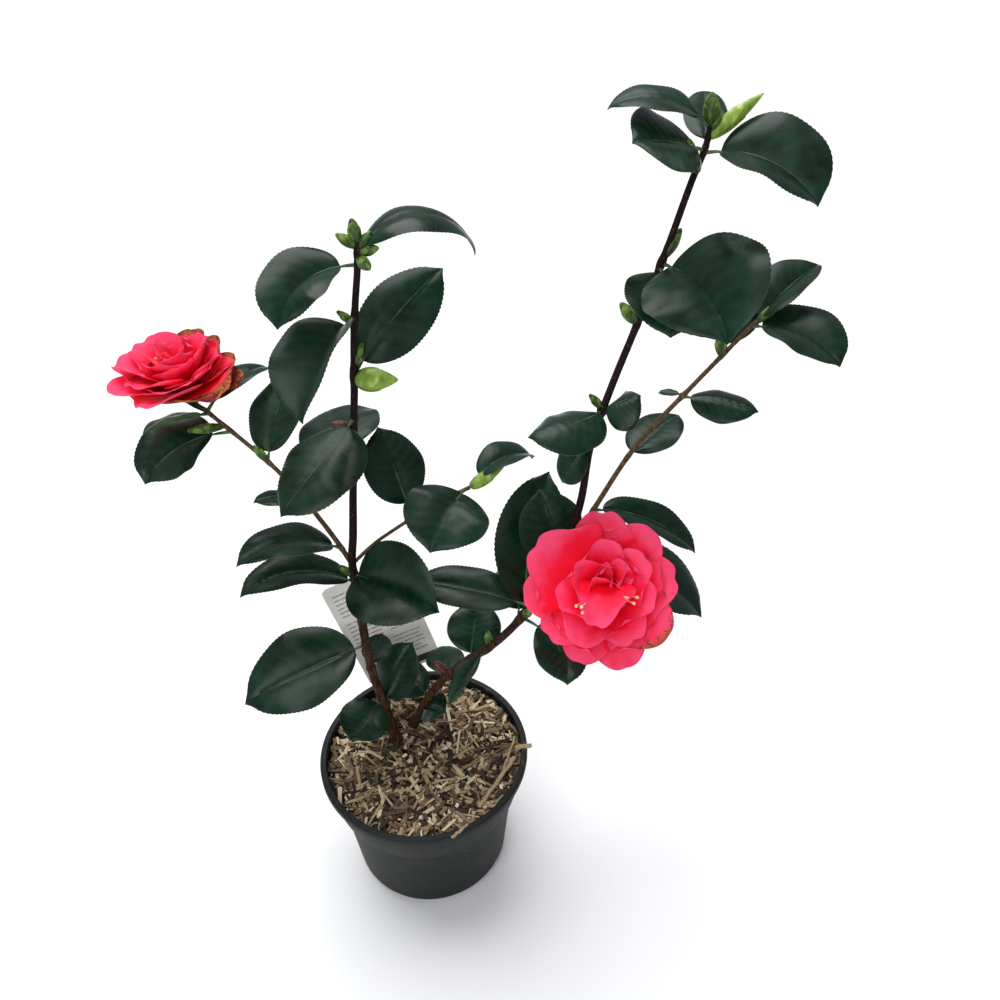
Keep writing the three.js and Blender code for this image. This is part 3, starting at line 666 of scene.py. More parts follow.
def chip_tree():
    """Strews slivers of wood over the mesh that it is given."""
    tree = bpy.data.node_groups.new("strewn_chips", "GeometryNodeTree")
    socket = tree.interface.new_socket
    socket("Geometry", in_out="INPUT", socket_type="NodeSocketGeometry")
    for name in ("Spacing", "Longest Chip", "Pile Height", "Bed Radius"):
        socket(name, in_out="INPUT", socket_type="NodeSocketFloat")
    socket("Seed", in_out="INPUT", socket_type="NodeSocketInt")
    socket("Geometry", in_out="OUTPUT", socket_type="NodeSocketGeometry")
    given = tree.nodes.new("NodeGroupInput").outputs

    # Each chip draws its own numbers, all from one seed.
    drawn = {}
    for salt, (name, (low, high)) in enumerate(CHIP_RANGES.items()):
        seed = add(tree, "ShaderNodeMath", {0: given["Seed"], 1: float(salt)})
        drawn[name] = add(tree, "FunctionNodeRandomValue", {2: low, 3: high, 8: seed}, out=1)
    turn = add(tree, "FunctionNodeRandomValue",
               {0: (-CHIP_TILT, -CHIP_ROLL, 0.0), 1: (CHIP_TILT, CHIP_ROLL, 2 * math.pi),
                8: given["Seed"]},
               data_type="FLOAT_VECTOR")

    # Points lie all over the bed, each at its own height in the pile.
    points = add(tree, "GeometryNodeDistributePointsOnFaces",
                 {"Mesh": given["Geometry"], "Distance Min": given["Spacing"],
                  "Density Max": 900000.0, "Seed": given["Seed"]},
                 distribute_method="POISSON")
    height = add(tree, "ShaderNodeMath", {0: drawn["height"], 1: given["Pile Height"]},
                 operation="MULTIPLY")
    lift = add(tree, "ShaderNodeCombineXYZ", {"Z": height})
    piled = add(tree, "GeometryNodeSetPosition", {"Geometry": points, "Offset": lift})

    # Each point carries a sliver, and only a few slivers are long.
    sliver = add(tree, "GeometryNodeMeshCube", {"Size": (1.0, 1.0, 1.0), "Vertices X": 5,
                                                "Vertices Y": 3, "Vertices Z": 2})
    few_long = add(tree, "ShaderNodeMath", {0: drawn["share"], 1: FEW_LONG}, operation="POWER")
    length = add(tree, "ShaderNodeMapRange", {"Value": few_long, "To Min": SHORTEST_CHIP,
                                              "To Max": given["Longest Chip"]})
    size = add(tree, "ShaderNodeCombineXYZ", {"X": length, "Y": drawn["width"],
                                              "Z": drawn["thickness"]})
    chips = add(tree, "GeometryNodeInstanceOnPoints", {"Points": piled, "Instance": sliver,
                                                       "Rotation": turn, "Scale": size})
    toned = add(tree, "GeometryNodeStoreNamedAttribute",
                {"Geometry": chips, "Name": "tone", "Value": drawn["tone"]},
                data_type="FLOAT", domain="INSTANCE")
    real = add(tree, "GeometryNodeRealizeInstances", {"Geometry": toned})

    # A noise shakes their corners.
    where = add(tree, "GeometryNodeInputPosition", {})
    shake = add(tree, "ShaderNodeTexNoise", {"Vector": where, "Scale": every(SHAKE_SIZE)},
                out="Color")
    centred = add(tree, "ShaderNodeVectorMath", {0: shake, 1: (0.5, 0.5, 0.5)},
                  operation="SUBTRACT")
    small = add(tree, "ShaderNodeVectorMath", {0: centred, "Scale": CHIP_SHAKE},
                operation="SCALE")
    rough = add(tree, "GeometryNodeSetPosition", {"Geometry": real, "Offset": small})

    # Chips that reach past the bed are pushed back inside the wall.
    flat = add(tree, "ShaderNodeVectorMath", {0: where, 1: (1.0, 1.0, 0.0)},
               operation="MULTIPLY")
    reach = add(tree, "ShaderNodeVectorMath", {0: flat}, out="Value", operation="LENGTH")
    share = add(tree, "ShaderNodeMath", {0: given["Bed Radius"], 1: reach},
                operation="DIVIDE")
    kept = add(tree, "ShaderNodeMath", {0: share, 1: 1.0}, operation="MINIMUM")
    scale = add(tree, "ShaderNodeCombineXYZ", {"X": kept, "Y": kept, "Z": 1.0})
    inside = add(tree, "ShaderNodeVectorMath", {0: where, 1: scale}, operation="MULTIPLY")
    held = add(tree, "GeometryNodeSetPosition", {"Geometry": rough, "Position": inside})
    covered = add(tree, "GeometryNodeSetMaterial", {"Geometry": held, "Material": CHIPPINGS})
    tree.links.new(covered, tree.nodes.new("NodeGroupOutput").inputs["Geometry"])
    return tree


# %% Strewing the chips
STREWN = {"Spacing": 1.95 * MM, "Longest Chip": 25 * MM, "Pile Height": 4.6 * MM,
          "Bed Radius": 70 * MM, "Seed": 11}
ground = Form()
ground.place(heading(np.linspace(0, 350, 36), 0.0) * BED_RADIUS + [0, 0, BED_TOP + 0.2])
ground.cap(range(36), 0)
ground_mesh = bpy.data.meshes.new("ground")
ground_mesh.from_pydata((ground.points[0] * MM).tolist(), [], ground.faces)
strewn = stand("strewn_chips", ground_mesh)
strew = strewn.modifiers.new("strew", "NODES")
strew.node_group = chip_tree()
for socket in strew.node_group.interface.items_tree:
    if socket.in_out == "INPUT" and socket.name in STREWN:
        strew[socket.identifier] = STREWN[socket.name]
chip_mesh = applied(strewn)
bpy.data.objects.remove(strewn)
dress("wood_chippings", chip_mesh, [])

# %% [markdown]
# ## Scraps over the rim
# A few chips lie where they were spilt: two across the rim, and two long straws against
# the wall. Each is a thin flat tube between two named ends, and wavers a little.

# %% Scraps over the rim
SCRAP_POINTS, SCRAP_SIDES, SCRAP_WAVER, SCRAP_TONE = 14, 8, 0.3, 0.72
# two ends, then half the width and half the thickness
SCRAPS = [((66, -9, 109), (77.5, -12, 113), 1.8, 0.7),
          ((12, -76, 112.5), (24, -66, 110), 1.0, 0.5),
          ((33, -52, 106.5), (64, -17, 108.5), 1.4, 0.8),
          ((52, -30, 107), (67, 1, 108.5), 0.8, 0.6)]
scraps = Form()
angles = 2 * np.pi * np.arange(SCRAP_SIDES) / SCRAP_SIDES
for start, stop, half_width, half_thick in SCRAPS:
    along = np.linspace(start, stop, SCRAP_POINTS)
    square = 1 / np.maximum(abs(np.cos(angles)) / half_thick, abs(np.sin(angles)) / half_width)
    wobble = SCRAP_WAVER * np.sin(np.outer(np.arange(SCRAP_POINTS), (1.3, 2.1, 1.7)))
    scraps.tube(along + wobble, np.tile(square, (SCRAP_POINTS, 1)), SCRAP_SIDES,
                tone=SCRAP_TONE)
scraps.piece("spilt_chips", [CHIPPINGS], [], "chippings", sharp=30)

# %% [markdown]
# ## The plant's label
# A care label stands behind the stems: a thin card with rounded corners on a pointed
# stake. It is one thin sheet, narrower at its corners and bowed a little. Its print is
# left as plain ruled lines and a dark strip, each a very thin sheet on the card.

# %% The label
LABEL = dict(width=57, height=107, thickness=0.9, corner=(-34.5, 53, 126), turn=9, lean=13.5,
             bow=0.9, card=0.6, rounding=4, stake=0.8, stake_width=13, stake_length=44,
             stake_point=14, stake_overlap=6)
INK_THICK, INK_OUT = 0.1, 0.34
RULED = dict(columns=(5, 31), lines=20, first=17, gap=4.2, height=0.9, word=(4, 13),
             last_word=17, width=22, block=7)


def on_label(across, up, out=0.0):
    """A point of the label from its lower left corner: across, up and out to the front."""
    spin = Matrix.Rotation(math.radians(LABEL["turn"]), 3, "Z")
    tilt = Matrix.Rotation(math.radians(-LABEL["lean"]), 3, "Y")
    bow = LABEL["bow"] * (2 * across / LABEL["width"] - 1) ** 2
    flat = np.stack(np.broadcast_arrays(across, LABEL["thickness"] / 2 - out - bow, up), -1)
    return flat @ np.array(spin @ tilt).T + LABEL["corner"]


def card_sheet(form, left, right, low, high, thick, finish, out=0.0, corner=0.0, rows=24):
    """A rectangle of card or ink with rounded corners."""
    up = np.linspace(low, high, rows)[:, None]
    near = np.clip(corner - np.minimum(up - low, high - up), 0, None)
    pull = corner - np.sqrt(np.clip(corner ** 2 - near ** 2, 0, None))
    share = np.linspace(0, 1, 15)[None, :]
    across = (left + pull) * (1 - share) + (right - pull) * share
    middle = on_label(across, up, out)
    front = unit(on_label(across, up, out + 1.0) - middle)
    form.sheet(middle, front, thick, finish)


def stake(form):
    """The label's stake: a strip from behind the card's foot down to its point."""
    up = np.linspace(LABEL["stake_overlap"], -LABEL["stake_length"], 30)[:, None]
    share = np.clip((up + LABEL["stake_length"]) / LABEL["stake_point"], 0.04, 1)
    middle = LABEL["width"] / 2 + 0 * up
    half = share * LABEL["stake_width"] / 2
    front = unit(on_label(middle, up, 1.0) - on_label(middle, up))
    form.sheet(on_label(middle + half * np.linspace(-1, 1, 7)[None, :], up), front,
               LABEL["stake"])


def ruled_lines(form):
    """Lines broken like words, in two columns. A blank line ends each block."""
    for column in RULED["columns"]:
        for line in range(RULED["lines"]):
            low = RULED["first"] + RULED["gap"] * line
            stop = column
            while stop < column + RULED["last_word"] and (line + 1) % RULED["block"]:
                start = stop
                stop = min(stop + dice.uniform(*RULED["word"]), column + RULED["width"])
                card_sheet(form, start, stop - 1, low, low + RULED["height"], INK_THICK, 1,
                           out=INK_OUT, rows=3)


label = Form()
card_sheet(label, 0, LABEL["width"], 0, LABEL["height"], LABEL["card"], 0,
           corner=LABEL["rounding"], rows=60)
stake(label)
card_sheet(label, 2, LABEL["width"] - 2, 3, 10, INK_THICK, 2, out=INK_OUT)
ruled_lines(label)
label.piece("plant_label", [CARD, *INKS], ["care_label"], "card", sharp=40)

# %% [markdown]
# ## How the plant grows
# Every stem is a smooth curve through a few points, thicker at its foot. Every leaf is
# written as the stem it grows from, the height of its node, and the way it points, droops,
# folds and rolls. These are the plant's own measures, so they stand here as named rows.

# %% The stems
ROOT_FLARE, FLARE_HEIGHT = 1.5, 9
STEMS = {
    "left_stem": dict(
        path=[(-19, 15, 103), (-25, 19, 142), (-30, 21, 173), (-32, 23, 209), (-32, 25, 240),
              (-33, 26, 271), (-30, 28, 293), (-27, 30, 319), (-22, 33, 360), (-18, 36, 391),
              (-14, 40, 427), (-8, 44, 463), (-7, 45, 476)], foot=3.3, tip=1.7),
    "left_side_branch": dict(
        path=[(-33, 26, 271), (-42, 31, 290), (-57, 37, 318), (-75, 46, 342),
              (-109, 65, 372)], foot=1.7, tip=1.2),
    "middle_twig": dict(
        path=[(-33, 26, 271), (-19, 28, 283), (-6, 30, 291), (26, 33, 309), (45, 34, 316)],
        foot=1.2, tip=1.0),
    "right_stem": dict(
        path=[(-7, 28, 103), (10, 20, 147), (27, 10, 180), (51, 2, 206), (70, -4, 234),
              (94, -3, 272), (109, 6, 315), (116, 14, 353), (129, 22, 388), (144, 30, 423),
              (159, 38, 460), (172, 46, 494), (178, 49, 508), (181, 51, 521)],
        foot=3.0, tip=1.6),
    "right_side_branch": dict(
        path=[(94, -3, 272), (120, 8, 312), (146, 20, 345), (180, 32, 374), (215, 44, 402),
              (223, 46, 408)], foot=1.7, tip=1.2),
}


def along_stem(stem, t):
    """Points of a stem's smooth curve at t, from 0 at its foot to 1 at its tip."""
    path = np.array(STEMS[stem]["path"], float)
    held = np.vstack([2 * path[0] - path[1], path, 2 * path[-1] - path[-2]])
    place = np.atleast_1d(np.clip(t, 0, 1)) * (len(path) - 1)
    first = np.minimum(place.astype(int), len(path) - 2)
    u = (place - first)[:, None]
    a, b, c, d = (held[first + k] for k in range(4))
    return b + 0.5 * u * (c - a + u * (2 * a - 5 * b + 4 * c - d + u * (3 * (b - c) + d - a)))


def node_at(stem, height):
    """The point of a stem's axis at a height, and how far along the stem that is."""
    t = np.linspace(0, 1, 1501)
    found = np.interp(height, along_stem(stem, t)[:, 2], t)
    return along_stem(stem, found)[0], found


def from_soil(stem):
    """Whether a stem rises from the soil, and not from another stem."""
    return STEMS[stem]["path"][0][2] == SOIL_TOP


def stem_radius(stem, t):
    """A stem's radius at t: it tapers, and flares where it leaves the soil."""
    row = STEMS[stem]
    taper = row["foot"] + (row["tip"] - row["foot"]) * t
    if not from_soil(stem):
        return taper
    above = along_stem(stem, t)[:, 2] - SOIL_TOP
    return taper * (1 + (ROOT_FLARE - 1) * np.exp(-above / FLARE_HEIGHT))


# %% The leaves
# stem, height, bearing, rise, length, width, droop, fold, roll, turn, stalk
LEAVES = {
    "crown_a": ("left_stem", 462, 221, -22, 52, 41, 45, 18, -12, 60, 9),
    "crown_b": ("left_stem", 468, 15, -15, 80, 34, 120, -8, 3, 0, 6),
    "crown_c": ("left_stem", 401, 34, 31, 72, 40, 20, -6, 34, 0, 9),
    "crown_d": ("left_stem", 434, 236, -34, 62, 52, 50, 34, 12, 0, 9),
    "crown_e": ("left_stem", 351, 105, -3, 53, 52, 10, 0, -10, 0, 7),
    "crown_f": ("left_stem", 374, 225, -24, 66, 50, 30, -10, -4, -30, 8),
    "branch_a": ("left_side_branch", 342, 64, 38, 54, 36, 15, 5, -10, -20, 6),
    "branch_b": ("left_side_branch", 359, 205, -21, 51, 45, 25, 8, -15, 60, 12),
    "branch_c": ("left_side_branch", 369, 209, 2, 35, 30, 20, 12, 25, 0, 6),
    "branch_d": ("left_side_branch", 370, 45, 2, 46, 22, 60, 5, 0, 0, 9),
    "left_leaf_1": ("left_side_branch", 282, 201, 10, 64, 34, 55, 8, 0, 20, 7),
    "left_leaf_2": ("left_side_branch", 320, 195, 10, 25, 18, 10, 0, 0, 0, 4),
    "left_leaf_3": ("left_stem", 255, 195, 10, 73, 34, 60, 8, 0, 30, 6),
    "left_leaf_4": ("left_stem", 263, 317, 2, 65, 62, 15, 30, 34, 0, 4),
    "left_leaf_5": ("left_stem", 201, 194, -14, 81, 60, 15, 10, -15, 0, 8),
    "left_leaf_6": ("left_stem", 179, 70, 15, 24, 22, 0, 0, 0, 0, 4),
    "left_leaf_7": ("left_stem", 147, 230, -5, 34, 36, 15, 0, -15, 0, 5),
    "left_leaf_8": ("left_stem", 142, 40, 50, 44, 38, 10, 5, 0, 0, 6),
    "middle_a": ("middle_twig", 299, 114, 51, 51, 40, 10, 0, 0, 0, 10),
    "middle_b": ("middle_twig", 315, 237, -17, 47, 54, 40, 6, -14, 0, 5),
    "middle_c": ("middle_twig", 316, 28, -6, 47, 26, 80, 15, 0, 0, 10),
    "right_leaf_1": ("right_side_branch", 339, 36, 9, 46, 32, 10, 0, 0, 0, 5),
    "right_leaf_2": ("right_stem", 142, 136, 14, 42, 34, 10, 0, 0, 0, 4),
    "right_leaf_3": ("right_stem", 168, 84, -12, 36, 28, 10, 0, 0, 0, 4),
    "right_leaf_4": ("right_stem", 128, 304, 32, 28, 24, 20, 0, 25, 0, 4),
    "right_leaf_5": ("right_stem", 202, 215, -40, 40, 30, 20, 10, 35, 0, 5),
    "right_leaf_6": ("right_stem", 192, 74, 25, 39, 38, 10, 0, 0, 0, 4),
    "right_leaf_7": ("right_stem", 245, 158, 3, 72, 34, 20, 5, -10, 0, 10),
    "right_leaf_8": ("right_stem", 233, 80, 20, 36, 38, 10, 0, 0, 0, 8),
    "right_leaf_9": ("right_stem", 240, 66, 45, 88, 48, 10, 10, 20, -30, 6),
    "right_leaf_10": ("right_stem", 275, 106, 56, 44, 44, 10, 5, 0, 0, 6),
    "right_leaf_11": ("right_stem", 236, 289, -28, 44, 36, 30, 5, 0, -60, 12),
    "right_leaf_12": ("right_side_branch", 309, 337, -21, 66, 31, 32, 8, 0, -40, 6),
    "right_leaf_13": ("right_side_branch", 288, 341, -31, 98, 55, 20, 5, 0, -50, 6),
    "right_leaf_14": ("right_stem", 357, 182, -59, 26, 26, 10, 0, -20, 0, 9),
    "right_leaf_15": ("right_stem", 373, 199, -1, 49, 38, 20, -20, -8, -50, 4),
    "right_leaf_16": ("right_stem", 373, 343, 29, 23, 36, 30, -30, 14, 50, 3),
    "right_leaf_17": ("right_stem", 453, 282, -16, 64, 73, 30, 20, 24, -35, 7),
    "right_leaf_18": ("right_stem", 451, 265, -32, 41, 50, 40, 5, -10, 0, 6),
    "side_a": ("right_side_branch", 370, 335, -4, 41, 28, 15, -20, 15, 0, 5),
    "side_b": ("right_side_branch", 371, 150, -5, 13, 8, 10, 0, 0, 0, 3),
    "side_c": ("right_side_branch", 392, 69, 34, 66, 42, 10, 0, 0, 0, 6),
    "side_d": ("right_side_branch", 406, 26, 25, 52, 34, 25, 24, 0, 0, 6),
    "side_e": ("right_side_branch", 405, 318, -14, 53, 48, 40, 14, 8, -35, 6),
    "top_a": ("right_stem", 519, 170, 6, 50, 27, 60, 5, -12, 0, 9),
    "top_b": ("right_stem", 508, 196, 12, 39, 54, 20, 0, -22, 0, 7),
    "top_c": ("right_stem", 510, 74, 18, 47, 24, 10, 0, 0, 0, 6),
    "top_d": ("right_stem", 507, 319, -19, 61, 56, 55, 20, 16, -15, 9),
}

# %% The buds
# stem, height, bearing, rise, length, width, and the kind of bud
BUDS = [
    ("left_stem", 471, 170, 35, 13, 6, "leaf"),
    ("left_stem", 472, 110, 72, 14, 7.5, "leaf"),
    ("left_stem", 470, 12, 45, 12, 6, "leaf"),
    ("left_stem", 468, 350, 15, 12, 6, "leaf"),
    ("left_stem", 466, 300, -15, 12, 7, "leaf"),
    ("left_stem", 430, 180, 45, 12, 4.5, "leaf"),
    ("left_stem", 404, 20, 65, 16, 4.5, "leaf"),
    ("left_stem", 398, 348, 0, 25, 13.5, "flower"),
    ("left_stem", 366, 168, 20, 14, 8, "withered"),
    ("left_stem", 261, 180, 50, 14, 5, "leaf"),
    ("left_stem", 222, 5, 60, 14, 5, "leaf"),
    ("left_side_branch", 342, 150, 50, 13, 5, "leaf"),
    ("left_side_branch", 362, 184, 0, 22, 6, "leaf"),
    ("middle_twig", 316, 15, 22, 26, 8, "flower"),
    ("right_stem", 172, 150, 45, 14, 6, "withered"),
    ("right_stem", 205, 90, 60, 12, 5, "leaf"),
    ("right_stem", 238, 300, 50, 11, 6, "leaf"),
    ("right_stem", 374, 170, 50, 13, 5, "leaf"),
    ("right_stem", 455, 28, 50, 19, 7, "leaf"),
    ("right_stem", 421, 160, 50, 16, 8, "leaf"),
    ("right_stem", 519, 90, 78, 17, 9.5, "leaf"),
    ("right_stem", 514, 12, 32, 36, 8, "flower"),
    ("right_stem", 516, 20, 60, 13, 6, "leaf"),
    ("right_stem", 499, 172, 70, 17, 6.5, "leaf"),
    ("right_side_branch", 390, 100, 70, 14, 7, "leaf"),
    ("right_side_branch", 407, 18, 28, 19, 6.5, "leaf"),
]

# %% [markdown]
# ## Wood with its relief
# Bark is more than a colour: this one has shallow grooves along the stem, a swelling at
# every node where a leaf or a bud sits, and it is never quite round. The tube's radius is
# therefore worked out for every ring and every side, and a smooth noise moves it.

# %% Stems and branches
WOOD_SIDES, RING_GAP = 24, 1.3
SWELL, SWELL_LENGTH = 0.16, 2.4           # how much thicker a node is, and over what length
BARK_DEPTH = 0.05                         # as a share of the radius


def bark_noise(angle, distance):
    """Broad ridges with finer ones on them, both drawn out along the stem."""
    x, y = math.cos(angle), math.sin(angle)
    return (noise.noise(Vector((2.6 * x, 2.6 * y, distance / 11)))
            + 0.45 * noise.noise(Vector((6 * x, 6 * y, distance / 3.2))))


def wood(form, stem):
    """One stem or branch as a tube with the relief of its bark."""
    rough_length = np.linalg.norm(np.diff(along_stem(stem, np.linspace(0, 1, 60)), axis=0),
                                  axis=1).sum()
    t = np.linspace(0, 1, int(rough_length / RING_GAP))
    centres = along_stem(stem, t)
    if from_soil(stem):
        centres = np.vstack([centres[:1] - [0, 0, 6], centres])
        t = np.concatenate([[0], t])
    distance = np.concatenate([[0], np.linalg.norm(np.diff(centres, axis=0), axis=1).cumsum()])
    radius = stem_radius(stem, t)
    for row in [*LEAVES.values(), *BUDS]:
        if row[0] == stem:
            gap = (node_at(stem, row[1])[1] - t) * rough_length
            radius = radius + SWELL * radius * np.exp(-(gap / SWELL_LENGTH) ** 2)
    turns = 2 * np.pi * np.arange(WOOD_SIDES) / WOOD_SIDES
    relief = np.array([[bark_noise(a, d) for a in turns] for d in distance])
    radii = radius[:, None] * (1 + BARK_DEPTH * relief)
    age = 1 - smooth_step(120, 300, centres[:, 2:] + 0 * radii)
    form.tube(centres, radii, WOOD_SIDES, tone=age)


for stem in STEMS:
    timber = Form()
    wood(timber, stem)
    skin = STEM_BARK if from_soil(stem) else TWIG_BARK
    timber.piece(stem + "_wood", [skin], [stem], "bark", sharp=80)

# %% [markdown]
# ## The leaves
# A camellia leaf is a stiff oval blade with a short point. Its midrib is sunk, each half is
# domed, the side veins press shallow lines into it, and its margin has fine teeth that
# lean towards the tip. The blade follows the same path as its solid: it turns from its
# first heading to its last, step by step. All of it is real geometry, so it still shows in
# a close view, and the stalk with its midrib is a tapering tube of its own.

# %% One blade
BLADE_ROWS, BLADE_COLUMNS = 88, 14
TOOTH_DEPTH = 0.55
VEIN_PAIRS, VEIN_WIDTH, VEIN_DEPTH, VEIN_TONE = 7, 1.1, 0.10, 0.11
RIB_WIDTH, RIB_DEPTH = 1.3, 0.4           # the groove that the midrib lies in
DOME, RIPPLE, SWAY = 0.30, 0.05, 0.03     # as shares of half the blade's width
OVAL_END, BROADEST, FOOT_ROUND, TIP_ROUND = 0.96, 0.47, 0.55, 0.62
POINT_START, POINT_SLOPE, LEAST_HALF = 0.9, 0.27 / 0.08, 0.35
LEAF_THICK, LEAF_THINNING = 0.5, 0.22
HOOK_START, HOOK_SHARE, HOOK_DEPTH = 0.86, 0.14, 1.1
STALK_RADII, RIB_RADIUS, RIB_THINNING, RIB_SUNK = (1.25, 1.1, 0.95), 0.62, 0.5, 0.36


def leaf_outline(s):
    """Width of a leaf, from 0 to 1, at s along it: broadest near the middle, short point."""
    b = np.minimum(s / OVAL_END, 1)
    full = BROADEST ** FOOT_ROUND * (1 - BROADEST) ** TIP_ROUND
    body = b ** FOOT_ROUND * (1 - b) ** TIP_ROUND / full
    point = np.where(s > POINT_START, POINT_SLOPE * (1 - s), 0)
    return np.maximum(body, point)


def leaf_path(row, s):
    """The foot of a leaf's stalk, its midrib at evenly spaced s, and its right and upper side."""
    stem, height, bearing, rise, length, _, droop, _, roll, turn, stalk = row

    def towards(at):
        return heading(bearing + turn * (at - 0.5), rise + droop * (0.5 - at))

    root, _ = node_at(stem, height)
    middles = (s[1:] + s[:-1]) / 2
    steps = towards(middles) * np.diff(s)[:, None] * length
    middle = root + towards(-0.05) * stalk + np.vstack([np.zeros(3), steps.cumsum(axis=0)])
    along = towards(s)
    level = unit(np.cross(along, UP))
    above = np.cross(level, along)
    tip = math.radians(roll)
    right = level * math.cos(tip) - above * math.sin(tip)
    return root, middle, right, np.cross(right, along)


def tip_hook(s):
    """How far the short point of a leaf bends down at s along it."""
    return -HOOK_DEPTH * np.clip((s - HOOK_START) / HOOK_SHARE, 0, 1) ** 2


def blade(form, row):
    """One leaf blade with its teeth, its domed halves and its pressed veins."""
    length, width, fold = row[4], row[5], math.radians(row[7])
    s = np.linspace(0, 1, BLADE_ROWS + 1)
    _, middle, right, normal = leaf_path(row, s)
    half = np.maximum(leaf_outline(s) * width / 2, LEAST_HALF)[:, None]
    v = np.linspace(-1, 1, BLADE_COLUMNS + 1)[None, :]
    across = np.abs(v)
    # Each tooth rises slowly towards the tip and drops at once, on the margin alone.
    tooth = TOOTH_DEPTH * ((np.arange(BLADE_ROWS + 1) % 3) / 2 - 0.6)
    toothed = smooth_step(0.1, 0.2, s) * (1 - smooth_step(0.93, 0.97, s))
    reach = v * half + np.sign(v) * (across > 0.99) * (tooth * toothed)[:, None]
    dome = DOME * half * across * (1 - across)
    phase, swing = dice.uniform(0, 6.28, 4), dice.uniform(0.4, 1.0)
    side = np.where(v < 0, phase[0], phase[1])
    waves = np.sin(2 * np.pi * 2.1 * s[:, None] + side)
    ripple = RIPPLE * half * swing * across ** 2.5 * waves
    sway = SWAY * half * np.sin(4.4 * s[:, None] + 2.2 * v + phase[2])
    # Side veins lean towards the tip, and those of the two halves alternate.
    order = (s[:, None] - 0.2 * across ** 1.3 + 0.012) * (VEIN_PAIRS + 1) + (v < 0) * 0.35
    off_vein = np.abs(order - np.round(order)) / (VEIN_PAIRS + 1) * length
    inside = 1 - smooth_step(0.6, 0.9, across)
    vein = np.exp(-(off_vein / VEIN_WIDTH) ** 2) * inside * smooth_step(0.02, 0.12, s[:, None])
    press = -VEIN_DEPTH * vein - RIB_DEPTH * np.exp(-(across * half / RIB_WIDTH) ** 2)
    lift = (across * half * math.sin(fold) + dome + ripple + sway + press
            + tip_hook(s[:, None]))
    points = (middle[:, None] + right[:, None] * (reach * math.cos(fold))[..., None]
              + normal[:, None] * lift[..., None])
    thick = LEAF_THICK - LEAF_THINNING * across + 0 * half
    form.sheet(points, normal[:, None], thick, 0, under=1, tone=VEIN_TONE * vein)


def rib(form, row):
    """The stalk of a leaf, which runs on as its midrib and thins out at the tip."""
    s = np.linspace(0, 1, 34)
    root, middle, _, normal = leaf_path(row, s)
    sunk = tip_hook(s) - RIB_SUNK
    stalk = [root + (middle[0] - root) * k for k in (0.0, 0.35, 0.7)]
    centres = np.vstack([stalk, middle + normal * sunk[:, None]])
    radii = np.concatenate([STALK_RADII,
                            RIB_RADIUS - RIB_THINNING * smooth_step(0.0, 0.9, s)])
    form.tube(centres, radii, sides=6)


# %% All the leaves
LEFT_SIDE = ("left_stem", "left_side_branch", "middle_twig")
SPRAYS = {"left": ["left_crown", "left_side_spray", "middle_spray"],
          "right": ["right_crown", "right_side_spray"]}
for side in ("left", "right"):
    blades, ribs = Form(), Form()
    for row in LEAVES.values():
        if (row[0] in LEFT_SIDE) == (side == "left"):
            blade(blades, row)
            rib(ribs, row)
    single = [name for name in LEAVES if name.startswith(side + "_leaf")]
    blades.piece(side + "_leaves", LEAF_FINISHES, single + SPRAYS[side], "leaf", sharp=60)
    ribs.piece(side + "_leaf_ribs", [LEAF_RIB], [], "leaf", sharp=80)

# %% [markdown]
# ## The buds
# A bud is a spindle wrapped in pairs of overlapping scales, each pair a little higher than
# the last and turned a quarter. A scale is a small pointed sheet bent round the spindle.

# %% Buds and their scales
# finish, pairs of scales, how high the swelling sits, and how full it is
BUD_KINDS = {"leaf": (0, 3, 0.95, 0.8),
             "flower": (1, 1, 0.7, 1.0),
             "withered": (2, 3, 0.95, 0.8)}
BUD_TIP = 0.06                            # its width at both ends, as a share of its width
# as shares of the bud's length: the foot of the first pair, the step between pairs, the
# length of a scale and its highest end
SCALE_FOOT, SCALE_STEP, SCALE_LENGTH, SCALE_TOP = 0.04, 0.2, 0.62, 0.98
SCALE_SPREAD, SCALE_THICK = math.radians(84), 0.28


def bud_width(s, kind):
    """The swelling of a bud along it: a spindle, or an egg with a pointed tip."""
    _, _, belly, full = BUD_KINDS[kind]
    return BUD_TIP + (full - BUD_TIP) * np.sin(np.pi * np.clip(s, 0, 1) ** belly) ** 0.8


def bud(form, row):
    """One bud: a spindle and pairs of scales that wrap round it."""
    stem, height, bearing, rise, length, width, kind = row
    finish, pairs, _, _ = BUD_KINDS[kind]
    root, _ = node_at(stem, height)
    along = heading(float(bearing), float(rise))
    side = unit(np.cross(along, [0.3, 0.9, 0.2]))
    across = np.cross(along, side)
    s = np.linspace(0, 1, 28)
    form.tube(root + np.outer(s * length, along), bud_width(s, kind) * width / 2, 24, finish,
              tone=(0.3 * s)[:, None])
    t, u = np.linspace(0, 1, 12)[:, None], np.linspace(-1, 1, 11)[None, :]
    spread = SCALE_SPREAD * np.sqrt(np.clip(1 - t ** 2.6, 0.002, 1))
    for pair in range(pairs):
        low = SCALE_FOOT + SCALE_STEP * pair
        high = min(low + SCALE_LENGTH, SCALE_TOP)
        at = low + (high - low) * t + 0 * u
        r = (bud_width(at, kind) * width / 2 + 0.1 + 0.12 * (pairs - pair)
             + 0.015 * width * t ** 3)
        for half_turn in (0, math.pi):
            angle = half_turn + pair * math.pi / 2 + 0.3 + u * spread
            out = np.cos(angle)[..., None] * side + np.sin(angle)[..., None] * across
            middle = root + at[..., None] * length * along + out * r[..., None]
            form.sheet(middle, out, SCALE_THICK, finish, tone=0.05 + 0.4 * t + 0 * u)


buds = Form()
for row in BUDS:
    bud(buds, row)
buds.piece("scaly_buds", BUD_FINISHES, [], "leaf", sharp=60)

